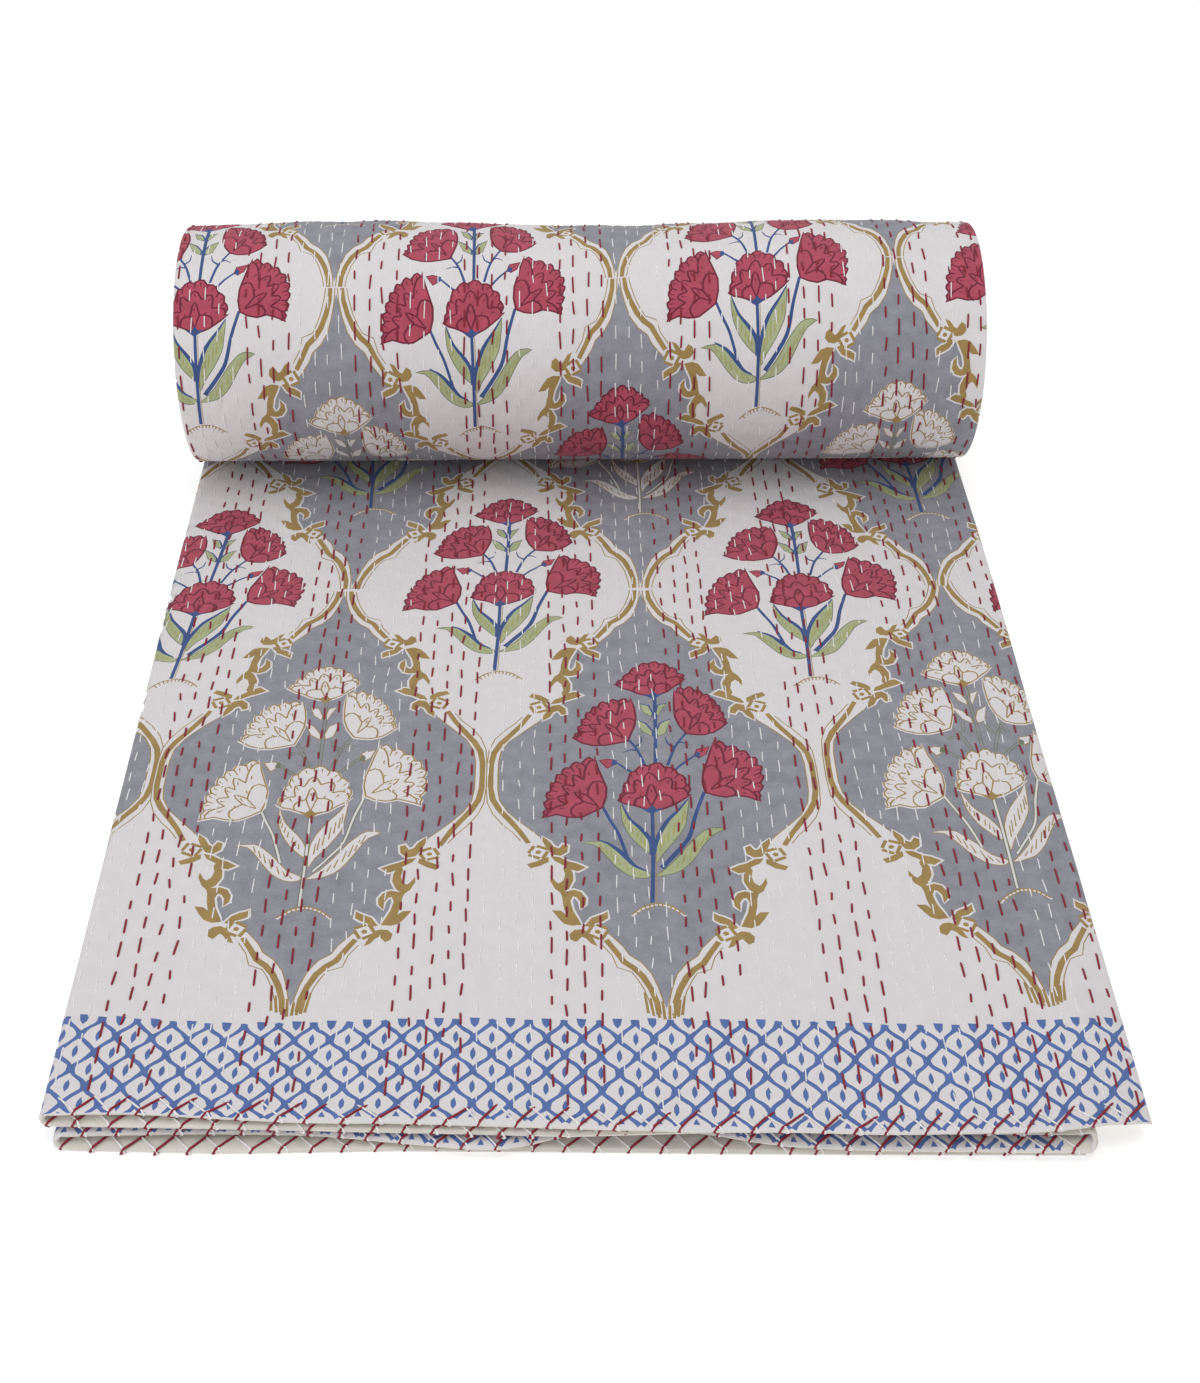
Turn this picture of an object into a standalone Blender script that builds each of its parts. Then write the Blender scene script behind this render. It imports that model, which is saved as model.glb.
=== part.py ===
"""A hand-quilted kantha bed quilt, folded in four across its width and rolled up from the far end.

The quilt is one piece of cloth. In front lies the folded run: one cloth going back and forth in four
layers, a little apart, with its four hems at the front edge. Behind, the same four layers are wound
into a roll that rests on the end of the run. Metres, +Z up, the hems face -Y.
"""

import math

import bmesh
import bpy

# Driving sizes
FOLD_WIDTH = 0.570  # a 90 in (2.286 m) wide quilt folded in four
CLOTH = 0.0030  # two cotton sheets and a thin filling, stitched together
AIR = 0.0024  # between two layers of the folded run
RUN_LENGTH = 0.682  # from the top hem to below the middle of the roll
ROLL_MIDDLE_HEIGHT = 0.100
ROLL_RADIUS = 0.0842  # where the roll meets the run again, one turn in
LOOSE_TURN = 0.0208  # how much wider the outermost turn starts, pressed flat on the floor
TIGHTENING = 2.5  # the higher, the sooner it draws tight
WOUND_STACK = 0.0122  # four layers pressed together, the pitch of the inner turns
ROLL_LEFT = -0.288
ROLL_RIGHT = 0.288
ROLL_ROW_SHIFT = 0.0024  # the rows of the roll's face lie that far beside those of the run
STITCH_ROW = 0.0095  # distance between two rows of running stitch
ROW_STEP = 2 * STITCH_ROW  # every second row is pressed into the solid
CHANNEL_DEPTH = 0.0007  # how deep a row of stitches pulls the cloth in
UNEVEN_PULL = 0.2  # share by which the pull varies along a row
UNEVEN_LENGTH = 0.2

# The four layers from the top one down. Each hem stands a little further forward than the one above.
LAYER_COLUMNS = ("left", "right", "hem_left", "hem_middle", "hem_right")
LAYERS = (
    (-0.285, 0.285, 0.012, -0.001, -0.003),
    (-0.285, 0.256, 0.006, -0.005, 0.009),
    (-0.279, 0.256, 0.001, -0.007, -0.007),
    (-0.279, 0.250, -0.004, -0.009, -0.008),
)
FOLD_STEPS = 5  # straight pieces in the round of a fold
HIDDEN_STEPS = 9  # straight pieces across a layer that lies under another
HEM_ROUND = 0.0015  # the hems are rounded off over this length
HEM_EDGE = 0.5  # share of the thickness left at the very edge of a hem
RUN_STATIONS = (0.16, 0.33, 0.50, 0.67, 0.84)  # shares of the run's length
RUN_OVERLAP = 0.012  # how far the layers run on inside the solid roll
RUN_LIFT = 0.0014  # how far they rise in there, off the floor
LIFT_LENGTH = 0.030  # and over which length before it

TURN_STEPS = 28
ALL_TURNS = 6.2  # turns whose seams show in the ends
SHALLOW = 0.1  # share of the groove's depth where it starts
DEEPENING = 0.2  # turns until it has its full depth
PRESSED = 0.0178  # height of the run's top under the roll
GROOVE = 0.003  # how deep the seam between two turns lies in the end of the roll
HOLLOW = 0.010  # how deep the middle of the roll lies in its end

SWELL = 0.0020  # the roll is that much thicker and thinner along its length
SWELL_WIDTH = 0.340  # from one swelling to the next
SWELL_PEAK = -0.123
SWELL_TWIST = 1.5  # radians by which the swellings shift in one turn
BROAD_WAVE = 0.0008  # height of the broad and of the slanting waves of the run
BROAD_WIDTH = 0.31
BROAD_LENGTH = 0.47
SLANT_WAVE = 0.0003
SLANT_LENGTH = 0.19
SLANT = 0.7
SMOOTH_FROM = 0.06  # the waves end that far before the roll's middle, over SMOOTH_LENGTH
SMOOTH_LENGTH = 0.08

STACK_HEIGHT = 4 * CLOTH + 3 * AIR
LAYER_PITCH = CLOTH + AIR


def layer(index, name):
    """One named value of a layer."""
    return LAYERS[index][LAYER_COLUMNS.index(name)]


def layer_height(index):
    """Height of the middle of a layer's cloth."""
    return STACK_HEIGHT - CLOTH / 2 - index * LAYER_PITCH


def hem_place(index, x):
    """How far back the hem of a layer lies at x: a bow through its left, middle and right."""
    s = x / (FOLD_WIDTH / 2)
    left, middle, right = (layer(index, n) for n in ("hem_left", "hem_middle", "hem_right"))
    return middle + s * (right - left) / 2 + s * s * ((right + left) / 2 - middle)


def channel(x, along):
    """How far the stitching draws the face of the cloth in: full on a row, none between two rows."""
    on_row = 0.5 + 0.5 * math.cos(2 * math.pi * x / ROW_STEP)
    uneven = UNEVEN_PULL * math.sin(2 * math.pi * (along + x / 2) / UNEVEN_LENGTH)
    return CHANNEL_DEPTH * on_row * (1 - UNEVEN_PULL + uneven)


def wave(x, y):
    """The slow unevenness of the top of the run."""
    broad = math.cos(2 * math.pi * x / BROAD_WIDTH) * math.sin(2 * math.pi * y / BROAD_LENGTH)
    slant = math.sin(2 * math.pi * (SLANT * x + y) / SLANT_LENGTH)
    share = min(1.0, max(0.0, (RUN_LENGTH - SMOOTH_FROM - y) / SMOOTH_LENGTH))
    return (BROAD_WAVE * broad + SLANT_WAVE * slant) * share


def rows_across(left, right, shift=0.0):
    """X of the points across a quilted face: one on each stitched row and one between, and both edges."""
    half = ROW_STEP / 2
    first = math.ceil((left - shift + half / 2) / half)
    last = math.floor((right - shift - half / 2) / half)
    return [left] + [k * half + shift for k in range(first, last + 1)] + [right]


def fold_points(side, upper, x_edge):
    """The round of a fold between layer upper and the next, from the upper one down."""
    radius = LAYER_PITCH / 2
    middle = layer_height(upper) - radius
    points = []
    for k in range(FOLD_STEPS + 1):
        a = math.pi * k / FOLD_STEPS
        normal = (side * math.sin(a), math.cos(a))
        x = x_edge - side * (radius + CLOTH / 2) + normal[0] * radius
        points.append((x, middle + normal[1] * radius, normal, upper + k / FOLD_STEPS))
    return points


def cloth_path():
    """The cloth's middle line in the X-Z plane, from the free edge of the top layer to that of the lowest.

    Each point is (x, z, outward normal, layer number, with fractions in the folds). The normal points
    to the printed side, which is up on the first and third layers.
    """
    inset = LAYER_PITCH / 2 + CLOTH / 2
    path = []
    for index in range(4):
        left, right = layer(index, "left"), layer(index, "right")
        starts_right = index % 2 == 0
        free_right = index in (0, 3)
        low, high = left + inset, right if free_right else right - inset
        if index == 0:
            across = rows_across(low, high)
        else:
            across = [low + (high - low) * k / HIDDEN_STEPS for k in range(HIDDEN_STEPS + 1)]
        if starts_right:
            across.reverse()
        up = 1 if starts_right else -1
        line = [(x, layer_height(index), (0, up), index) for x in across]
        if index < 3:
            line.pop()  # the fold starts there
        if index > 0:
            line.pop(0)  # the fold ended there
        path += line
        if index < 3:
            side = -1 if starts_right else 1
            for x, z, normal, number in fold_points(side, index, left if side < 0 else right):
                path.append((x, z, (up * normal[0], up * normal[1]), number))
    return path


def stations(hem):
    """Y and thickness share of each ring of points along the run, from a hem that lies at that Y."""
    lift_from = RUN_LENGTH - LIFT_LENGTH
    rings = [(hem, HEM_EDGE), (hem + HEM_ROUND, 1.0)]
    rings += [(hem + (lift_from - hem) * share, 1.0) for share in RUN_STATIONS]
    return rings + [(lift_from, 1.0), (RUN_LENGTH + RUN_OVERLAP, 1.0)]


def run_point(point, face, ring):
    """A point of the run on the printed (face 1) or the plain side (face -1), on a ring along its length."""
    x, z, normal, number = point
    upper = min(int(number), 2)
    share = number - upper
    hem = (1 - share) * hem_place(upper, x) + share * hem_place(upper + 1, x)
    y, thickness = stations(hem)[ring]
    drawn_in = channel(x, y) if number == 0 and face == 1 else 0
    reach = face * (CLOTH / 2 - drawn_in) * thickness
    px, pz = x + normal[0] * reach, z + normal[1] * reach
    lift = RUN_LIFT * max(0.0, y - RUN_LENGTH + LIFT_LENGTH) / (LIFT_LENGTH + RUN_OVERLAP)
    return (px, y, pz + lift + wave(px, y) * max(0.0, pz - CLOTH) / STACK_HEIGHT)


def folded_run():
    """The four layers as one closed sheet that goes back and forth."""
    mesh = bmesh.new()
    path = cloth_path()
    rings = []
    for ring in range(len(stations(0.0))):
        printed = [mesh.verts.new(run_point(p, 1, ring)) for p in path]
        plain = [mesh.verts.new(run_point(p, -1, ring)) for p in path]
        rings.append(printed + plain[::-1])
    count = len(rings[0])
    for near, far in zip(rings, rings[1:]):
        for k in range(count):
            after = (k + 1) % count
            mesh.faces.new((near[k], near[after], far[after], far[k]))
    for ring in (rings[0], rings[-1]):
        for k in range(len(path) - 1):
            mesh.faces.new((ring[k], ring[k + 1], ring[count - 2 - k], ring[count - 1 - k]))
    bmesh.ops.recalc_face_normals(mesh, faces=mesh.faces)
    return new_object("run", mesh)


def wound_radius(turn):
    """Distance from the middle of the roll, turn counted inwards from the floor over the back and top."""
    if turn < 1:
        return ROLL_RADIUS + LOOSE_TURN * (1 - turn) ** TIGHTENING
    return ROLL_RADIUS - WOUND_STACK * (turn - 1)


def swell(x, turn):
    """The roll's slow unevenness along its length, none where it rests."""
    aloft = math.sin(math.pi * turn) ** 2
    return SWELL * aloft * math.cos(2 * math.pi * (x - SWELL_PEAK) / SWELL_WIDTH + SWELL_TWIST * turn)


def roll_point(x, turn, radius):
    """A point of the roll at that distance from its middle, pressed flat on the floor and on the run."""
    a = 2 * math.pi * turn
    y = RUN_LENGTH + radius * math.sin(a)
    z = ROLL_MIDDLE_HEIGHT - radius * math.cos(a)
    return (x, y, max(z, PRESSED if turn > 0.5 else 0.0))


def roll_end(mesh, outline, x, inwards):
    """The spiral end of the roll: the edges of the turns stand out, with a groove between each two."""
    total = int(ALL_TURNS * TURN_STEPS)
    edges = list(outline)
    for k in range(TURN_STEPS + 1, total + 1):
        turn = k / TURN_STEPS
        edges.append(mesh.verts.new(roll_point(x, turn, wound_radius(turn))))
    grooves = []
    for k in range(total - TURN_STEPS + 1):
        turn = k / TURN_STEPS
        out, back = edges[k].co, edges[k + TURN_STEPS].co
        depth = GROOVE * min(1.0, SHALLOW + turn / DEEPENING)
        grooves.append(mesh.verts.new((x + inwards * depth, (out.y + back.y) / 2, (out.z + back.z) / 2)))
    for k in range(total - TURN_STEPS):
        mesh.faces.new((edges[k], edges[k + 1], grooves[k + 1], grooves[k]))
        mesh.faces.new((grooves[k], grooves[k + 1], edges[k + TURN_STEPS + 1], edges[k + TURN_STEPS]))
    middle = mesh.verts.new((x + inwards * HOLLOW, RUN_LENGTH, ROLL_MIDDLE_HEIGHT))
    rim = edges[total - TURN_STEPS : total + 1] + [grooves[-1]]
    for k, corner in enumerate(rim):
        mesh.faces.new((corner, rim[(k + 1) % len(rim)], middle))
    return grooves[0]


def wound_roll():
    """The roll: its round outside with the stitched rows, and its two spiral ends."""
    mesh = bmesh.new()
    columns = []
    for x in rows_across(ROLL_LEFT, ROLL_RIGHT, ROLL_ROW_SHIFT):
        at_end = x in (ROLL_LEFT, ROLL_RIGHT)
        column = []
        for k in range(TURN_STEPS + 1):
            turn = k / TURN_STEPS
            resting = k in (0, 1, TURN_STEPS)
            drawn_in = 0 if at_end or resting else channel(x - ROLL_ROW_SHIFT, turn)
            radius = wound_radius(turn) + swell(x, turn) - drawn_in
            column.append(mesh.verts.new(roll_point(x, turn, radius)))
        columns.append(column)
    for near, far in zip(columns, columns[1:]):
        for k in range(TURN_STEPS):
            mesh.faces.new((near[k], near[k + 1], far[k + 1], far[k]))
    left = roll_end(mesh, columns[0], ROLL_LEFT, 1)
    right = roll_end(mesh, columns[-1], ROLL_RIGHT, -1)
    lower = [column[0] for column in columns]
    upper = [column[-1] for column in columns]
    mesh.faces.new(lower + [right] + upper[::-1] + [left])
    bmesh.ops.triangulate(mesh, faces=mesh.faces)
    bmesh.ops.recalc_face_normals(mesh, faces=mesh.faces)
    return new_object("roll", mesh)


def new_object(name, mesh):
    data = bpy.data.meshes.new(name)
    mesh.to_mesh(data)
    mesh.free()
    obj = bpy.data.objects.new(name, data)
    bpy.context.scene.collection.objects.link(obj)
    return obj


def printed_cotton():
    """White cotton with its block print seen from afar: matt, a little grey and pink."""
    material = bpy.data.materials.new("printed_cotton")
    material.use_nodes = True
    shader = material.node_tree.nodes["Principled BSDF"]
    shader.inputs["Base Color"].default_value = (0.70, 0.66, 0.66, 1)
    shader.inputs["Roughness"].default_value = 0.9
    shader.inputs["Metallic"].default_value = 0.0
    return material


def stand_on_origin(obj):
    """Moves the mesh so that its box stands on the origin, centred in X and Y."""
    low = [min(v.co[k] for v in obj.data.vertices) for k in range(3)]
    high = [max(v.co[k] for v in obj.data.vertices) for k in range(3)]
    for v in obj.data.vertices:
        v.co.x -= (low[0] + high[0]) / 2
        v.co.y -= (low[1] + high[1]) / 2
        v.co.z -= low[2]


def main():
    for obj in list(bpy.data.objects):
        bpy.data.objects.remove(obj)
    quilt = folded_run()
    roll = wound_roll()
    roll.hide_render = True
    roll.display_type = "WIRE"
    union = quilt.modifiers.new("roll", "BOOLEAN")
    union.operation = "UNION"
    union.solver = "EXACT"
    union.object = roll
    bpy.context.view_layer.update()
    joined = bpy.data.meshes.new_from_object(quilt.evaluated_get(bpy.context.evaluated_depsgraph_get()))
    quilt.modifiers.remove(union)
    quilt.data = joined
    bpy.data.objects.remove(roll)
    quilt.name = "quilt"
    quilt.data.name = "quilt"
    quilt.data.materials.clear()
    quilt.data.materials.append(printed_cotton())
    stand_on_origin(quilt)
    quilt.data.shade_smooth()
    quilt.data.set_sharp_from_angle(angle=math.radians(50))


main()
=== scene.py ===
"""Kantha quilt, folded in four and rolled from its far end, dressed for rendering.

The quilt is one sheet of cloth with a thickness. Its print is drawn in the flat, in millimetres, as
shapes that the sheet's mesh follows, and the sheet is then laid back and forth and wound up. Threads
run over it as stitches. Metres, +Z up, the hems face -Y.
"""

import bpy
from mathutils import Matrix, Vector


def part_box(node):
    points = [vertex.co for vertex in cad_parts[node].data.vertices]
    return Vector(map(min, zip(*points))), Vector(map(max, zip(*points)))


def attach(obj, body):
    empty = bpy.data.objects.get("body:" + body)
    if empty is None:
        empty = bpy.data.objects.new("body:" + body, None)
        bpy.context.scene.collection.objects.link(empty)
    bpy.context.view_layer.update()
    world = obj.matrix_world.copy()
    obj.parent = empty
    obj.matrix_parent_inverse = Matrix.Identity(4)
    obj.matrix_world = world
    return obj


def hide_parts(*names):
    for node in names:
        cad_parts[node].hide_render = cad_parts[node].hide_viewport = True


bl_info = {
    "name": "Kantha quilt, folded and rolled",
    "version": (1, 0, 0),
    "blender": (4, 5, 0),
    "location": "3D View > Sidebar > Kantha quilt",
    "description": "Builds a block-printed, hand-stitched quilt as a folded run that ends in a roll",
    "category": "Object",
}

import math
import random

import bpy
import numpy as np
from mathutils import Matrix, Vector
from mathutils.geometry import delaunay_2d_cdt

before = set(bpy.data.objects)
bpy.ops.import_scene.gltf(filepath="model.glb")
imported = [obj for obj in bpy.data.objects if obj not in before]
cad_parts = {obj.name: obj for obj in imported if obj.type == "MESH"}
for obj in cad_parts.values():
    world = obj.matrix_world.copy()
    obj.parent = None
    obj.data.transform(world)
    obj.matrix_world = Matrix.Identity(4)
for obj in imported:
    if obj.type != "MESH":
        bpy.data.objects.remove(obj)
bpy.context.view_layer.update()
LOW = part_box("quilt")[0]

# ---------------------------------------------------------------------------------------------------
# Sizes of the folded and rolled quilt, as its solid has them where it can

# From the hems to below the middle of the roll
RUN_LENGTH = 0.682
ROLL_MIDDLE_HEIGHT = 0.100
ROLL_RADIUS = 0.0842
# The outermost turn leaves the floor this much wider than the roll, and draws in at this power
LOOSE_TURN = 0.0208
TIGHTENING = 2.5
# Height of the four layers below the roll, and of the four layers in its outer and inner turns
PRESSED = 0.0178
FIRST_PITCH = 0.0122
INNER_PITCH = 0.0115
# From one layer of the run to the next
RUN_PITCH = 0.0054
HEM_LINE = LOW[1] + 0.00933
# The roll is drawn in and swells along its length
SWELL = 0.0020
SWELL_WIDTH = 0.340
SWELL_PEAK = -0.123
SWELL_TWIST = 1.5
# Each layer's left and right edge at the hems and on the roll. The edges of folded layers are the
# outsides of their folds.
LAYERS = (
    (-0.2854, 0.2850, -0.2860, 0.2862),
    (-0.2854, 0.2560, -0.2860, 0.2845),
    (-0.2790, 0.2560, -0.2868, 0.2845),
    (-0.2790, 0.2500, -0.2868, 0.2868),
)
# How far back each layer's hem lies, in millimetres, at 13 places from its left to its right edge
HEMS = (
    (13.5, 14.0, 9.8, 7.1, 5.8, 3.2, 0.4, -2.0, -3.2, -4.8, -5.1, -3.5, 4.5),
    (11.5, 9.7, 8.1, 5.3, 4.5, 0.3, 1.2, 3.0, 1.8, 0.6, -1.0, -2.0, 0.0),
    (8.8, 9.7, 9.4, 7.6, 1.5, -2.3, 9.4, 7.0, -2.7, -6.3, -7.8, -9.2, -9.9),
    (6.5, 1.6, 1.5, 1.5, 1.9, 0.9, -0.7, -2.2, -3.2, -4.3, -5.3, -6.2, -6.5),
)
# The setback fades out over this length of the cloth
HEM_EASE = 0.5
# Width of the cloth that goes round a fold
FOLD_SPAN = 0.0085
ROWS_A_PANEL = 60
# Neighbouring rows start this share of a stitch and its gap apart, so their stitches don't line up
ROW_OFFSET = 0.618
# The panels that show, in millimetres: their width in the flat, where the one on the run starts at the
# right and the one on the roll at the left, and how wide both lie
PANEL = 571.5
RUN_RIGHT, RUN_WIDTH = 285.0, 570.0
ROLL_LEFT, ROLL_WIDTH = -286.8, 573.6


def linear(code):
    """The linear colour of an sRGB hex value."""
    parts = [int(code[k : k + 2], 16) / 255 for k in (1, 3, 5)]
    return tuple(c / 12.92 if c <= 0.04045 else ((c + 0.055) / 1.055) ** 2.4 for c in parts)


def length(name, default, description):
    """A size property in metres."""
    return bpy.props.FloatProperty(
        name=name, default=default, min=0.0, precision=4, subtype="DISTANCE", unit="LENGTH",
        description=description,
    )


def dye(name, code, description):
    """A colour property given as its sRGB hex value."""
    return bpy.props.FloatVectorProperty(
        name=name, default=linear(code), size=3, min=0.0, max=1.0, subtype="COLOR",
        description=description,
    )


class KanthaSizes(bpy.types.PropertyGroup):
    """Sizes of the cloth and of its stitches."""

    cloth_width: length("Cloth width", 2.286, "Width of the flat quilt, folded in four")
    cloth_length: length("Cloth length", 2.743, "Length of the flat quilt, rolled up from its far end")
    run_cloth: length("Cloth on the run", 0.0029, "Thickness of the cloth where it lies loose")
    stitch: length("Stitch", 0.0112, "Length of a running stitch that shows")
    stitch_gap: length("Gap", 0.0086, "Distance from one running stitch to the next in its row")
    thread: length("Maroon thread", 0.00070, "Half the thickness of the maroon thread")
    fine_thread: length("Pale thread", 0.00042, "Half the thickness of the pale thread")
    overcast: length("Overcast", 0.0174, "Distance between two stitches over the hems")


class KanthaColours(bpy.types.PropertyGroup):
    """Colours of the print and of the threads."""

    ground: dye("Ground", "#dedadb", "Bleached cotton")
    slate: dye("Slate", "#8f8f98", "Ground of the grey medallions")
    crimson: dye("Crimson", "#ae4a5d", "Petals")
    madder: dye("Madder", "#702439", "Lines between the petals")
    ochre: dye("Ochre", "#9e8450", "Bands and the lines of the white flowers")
    indigo: dye("Indigo", "#3b5285", "Stems")
    sage: dye("Sage", "#a8b089", "Leaves")
    olive: dye("Olive", "#74785f", "Lines round the leaves")
    moss: dye("Moss", "#a09c58", "Strokes on the leaves")
    cobalt: dye("Cobalt", "#566fa8", "Lattice of the border")
    cream: dye("Cream", "#ddd9d0", "Back of the quilt and its hems")
    maroon: dye("Maroon thread", "#87172d", "Quilting thread")
    pale: dye("Pale thread", "#f0eeee", "Quilting thread")


# ---------------------------------------------------------------------------------------------------
# How the cloth lies


def curve(points, closed=False, steps=4):
    """A smooth line through the points."""
    pts = np.asarray(points, float)
    if closed:
        before, after, later = (np.roll(pts, shift, 0) for shift in (1, -1, -2))
        spans = len(pts)
    else:
        extended = np.concatenate([[2 * pts[0] - pts[1]], pts, [2 * pts[-1] - pts[-2]]])
        before, after, later = extended[:-3], extended[2:-1], extended[3:]
        spans = len(pts) - 1
    out = []
    for k in range(spans):
        a, b, c, d = before[k], pts[k], after[k], later[k]
        for j in range(steps):
            u = j / steps
            bend = (2 * a - 5 * b + 4 * c - d) * u**2 + (3 * b - a - 3 * c + d) * u**3
            out.append(0.5 * (2 * b + (c - a) * u + bend))
    if not closed:
        out.append(pts[-1])
    return np.array(out)


HEM_PLACES = np.linspace(-RUN_RIGHT, RUN_RIGHT, len(HEMS[0]))
HEM_CURVES = [curve(np.column_stack([HEM_PLACES, hem])) / 1000 for hem in HEMS]


def hem_setback(layer, x):
    """How far back a layer's hem lies at x."""
    return np.interp(x, HEM_CURVES[layer][:, 0], HEM_CURVES[layer][:, 1])


def eased(share):
    """A share kept between 0 and 1, with a soft start and end."""
    share = np.clip(share, 0, 1)
    return share * share * (3 - 2 * share)


def wound_radius(turn):
    """Distance of the cloth's outside from the middle of the roll; turns count from the floor inwards."""
    whole = np.floor(turn)
    rest = turn - whole
    start = ROLL_RADIUS - np.where(whole > 1, FIRST_PITCH + (whole - 2) * INNER_PITCH, 0.0)
    drop = np.where(whole < 2, FIRST_PITCH, INNER_PITCH)
    wound = start - drop * (1 - (1 - rest) ** 1.9)
    loose = ROLL_RADIUS + LOOSE_TURN * np.clip(1 - turn, 0, 1) ** TIGHTENING
    return np.where(turn < 1, loose, wound)


def lowest_height(turn):
    """Height of what a turn rests on at its bottom."""
    passed = np.floor(turn + 0.5)
    deeper = PRESSED + FIRST_PITCH + (passed - 2) * INNER_PITCH
    return np.where(passed < 1, 0.0, np.where(passed < 2, PRESSED, deeper))


def smoothed(values, reach):
    """A running average over 2 * reach + 1 samples."""
    padded = np.concatenate([np.full(reach, values[0]), values, np.full(reach, values[-1])])
    return np.convolve(padded, np.full(2 * reach + 1, 1 / (2 * reach + 1)), "valid")


class ClothLine:
    """The line that the underside of the lowest layer follows, from the hem to the core of the roll."""

    def __init__(self, cloth_length):
        step = 0.0005
        before_hem = -0.02
        run_y = np.arange(before_hem, RUN_LENGTH, step)
        turn = np.linspace(0, 7.4, 7401)
        angle = 2 * math.pi * turn
        radius = wound_radius(turn)
        y = np.concatenate([run_y, RUN_LENGTH + radius * np.sin(angle)])
        wound_z = np.maximum(ROLL_MIDDLE_HEIGHT - radius * np.cos(angle), lowest_height(turn))
        z = np.concatenate([np.zeros(len(run_y)), wound_z])
        turns = np.concatenate([np.zeros(len(run_y)), turn])
        # A turn is as long as the middle of its cloth: one layer at first, then the whole stack
        middle = np.where(turns < 1, 0.0015, 0.006)
        bend = np.concatenate([np.zeros(len(run_y)), angle])
        steps = np.hypot(np.diff(y), np.diff(z)) - (middle[1:] + middle[:-1]) / 2 * np.diff(bend)
        along = before_hem + np.concatenate([[0.0], np.cumsum(steps)])
        even = np.arange(before_hem, cloth_length + 0.002, step)
        self.y = smoothed(np.interp(even, along, y), 8)
        self.z = smoothed(np.interp(even, along, z), 8)
        self.turn = np.interp(even, along, turns)
        self.even = even
        dy = np.gradient(self.y)
        dz = np.gradient(self.z)
        size = np.hypot(dy, dz)
        self.ny = -dz / size
        self.nz = dy / size
        gap = (wound_radius(self.turn) - wound_radius(self.turn + 1)) / 4
        tight = np.where(self.turn < 1, gap, INNER_PITCH / 4)
        tight = np.where((self.turn >= 1) & (self.turn < 2), gap, tight)
        run = RUN_PITCH + (PRESSED / 4 - 0.0001 - RUN_PITCH) * eased((even - 0.45) / 0.18)
        self.pitch = smoothed(np.where(self.turn <= 0, run, np.minimum(run, tight)), 24)

    def at(self, along):
        """Y, Z, both parts of the normal, pitch of the layers and turn at places along the cloth."""
        names = (self.y, self.z, self.ny, self.nz, self.pitch, self.turn)
        return [np.interp(along, self.even, values) for values in names]


def creases(x, along):
    """Soft troughs where the cloth is drawn: on the run and round the roll, each given one by one."""
    total = np.zeros_like(x)
    for x0, s0, x1, s1, width, depth in CREASES:
        dx, ds = x1 - x0, s1 - s0
        share = np.clip(((x - x0) * dx + (along - s0) * ds) / (dx * dx + ds * ds), 0, 1)
        far = np.hypot(x - x0 - share * dx, along - s0 - share * ds)
        ends = np.sin(math.pi * np.clip(share, 0.02, 0.98)) ** 0.5
        trough = np.exp(-((far / width) ** 2))
        banks = 0.45 * np.exp(-((far / width / 2.2) ** 2))
        total += depth * ends * (trough - banks)
    return total


# Ends of each crease (x and the length along the cloth), half its width, and its depth
CREASES = (
    (-0.185, 0.985, -0.128, 0.962, 0.0045, 0.0022),
    (-0.105, 0.955, -0.060, 0.972, 0.0040, 0.0014),
    (-0.092, 1.110, -0.050, 1.150, 0.0035, 0.0012),
    (-0.060, 1.098, -0.030, 1.135, 0.0035, 0.0011),
    (0.100, 1.140, 0.170, 1.158, 0.0040, 0.0012),
    (-0.200, 1.080, -0.150, 1.072, 0.0030, 0.0009),
    (0.205, 1.060, 0.262, 1.048, 0.0035, 0.0010),
    (-0.245, 0.610, -0.190, 0.645, 0.0050, 0.0014),
    (0.020, 0.632, 0.090, 0.640, 0.0050, 0.0012),
    (0.150, 0.590, 0.212, 0.628, 0.0050, 0.0012),
    (-0.120, 0.200, -0.060, 0.232, 0.0060, 0.0009),
    (0.075, 0.205, 0.118, 0.160, 0.0060, 0.0010),
    (0.180, 0.420, 0.262, 0.455, 0.0070, 0.0009),
    (-0.262, 0.350, -0.205, 0.330, 0.0070, 0.0009),
)


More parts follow.
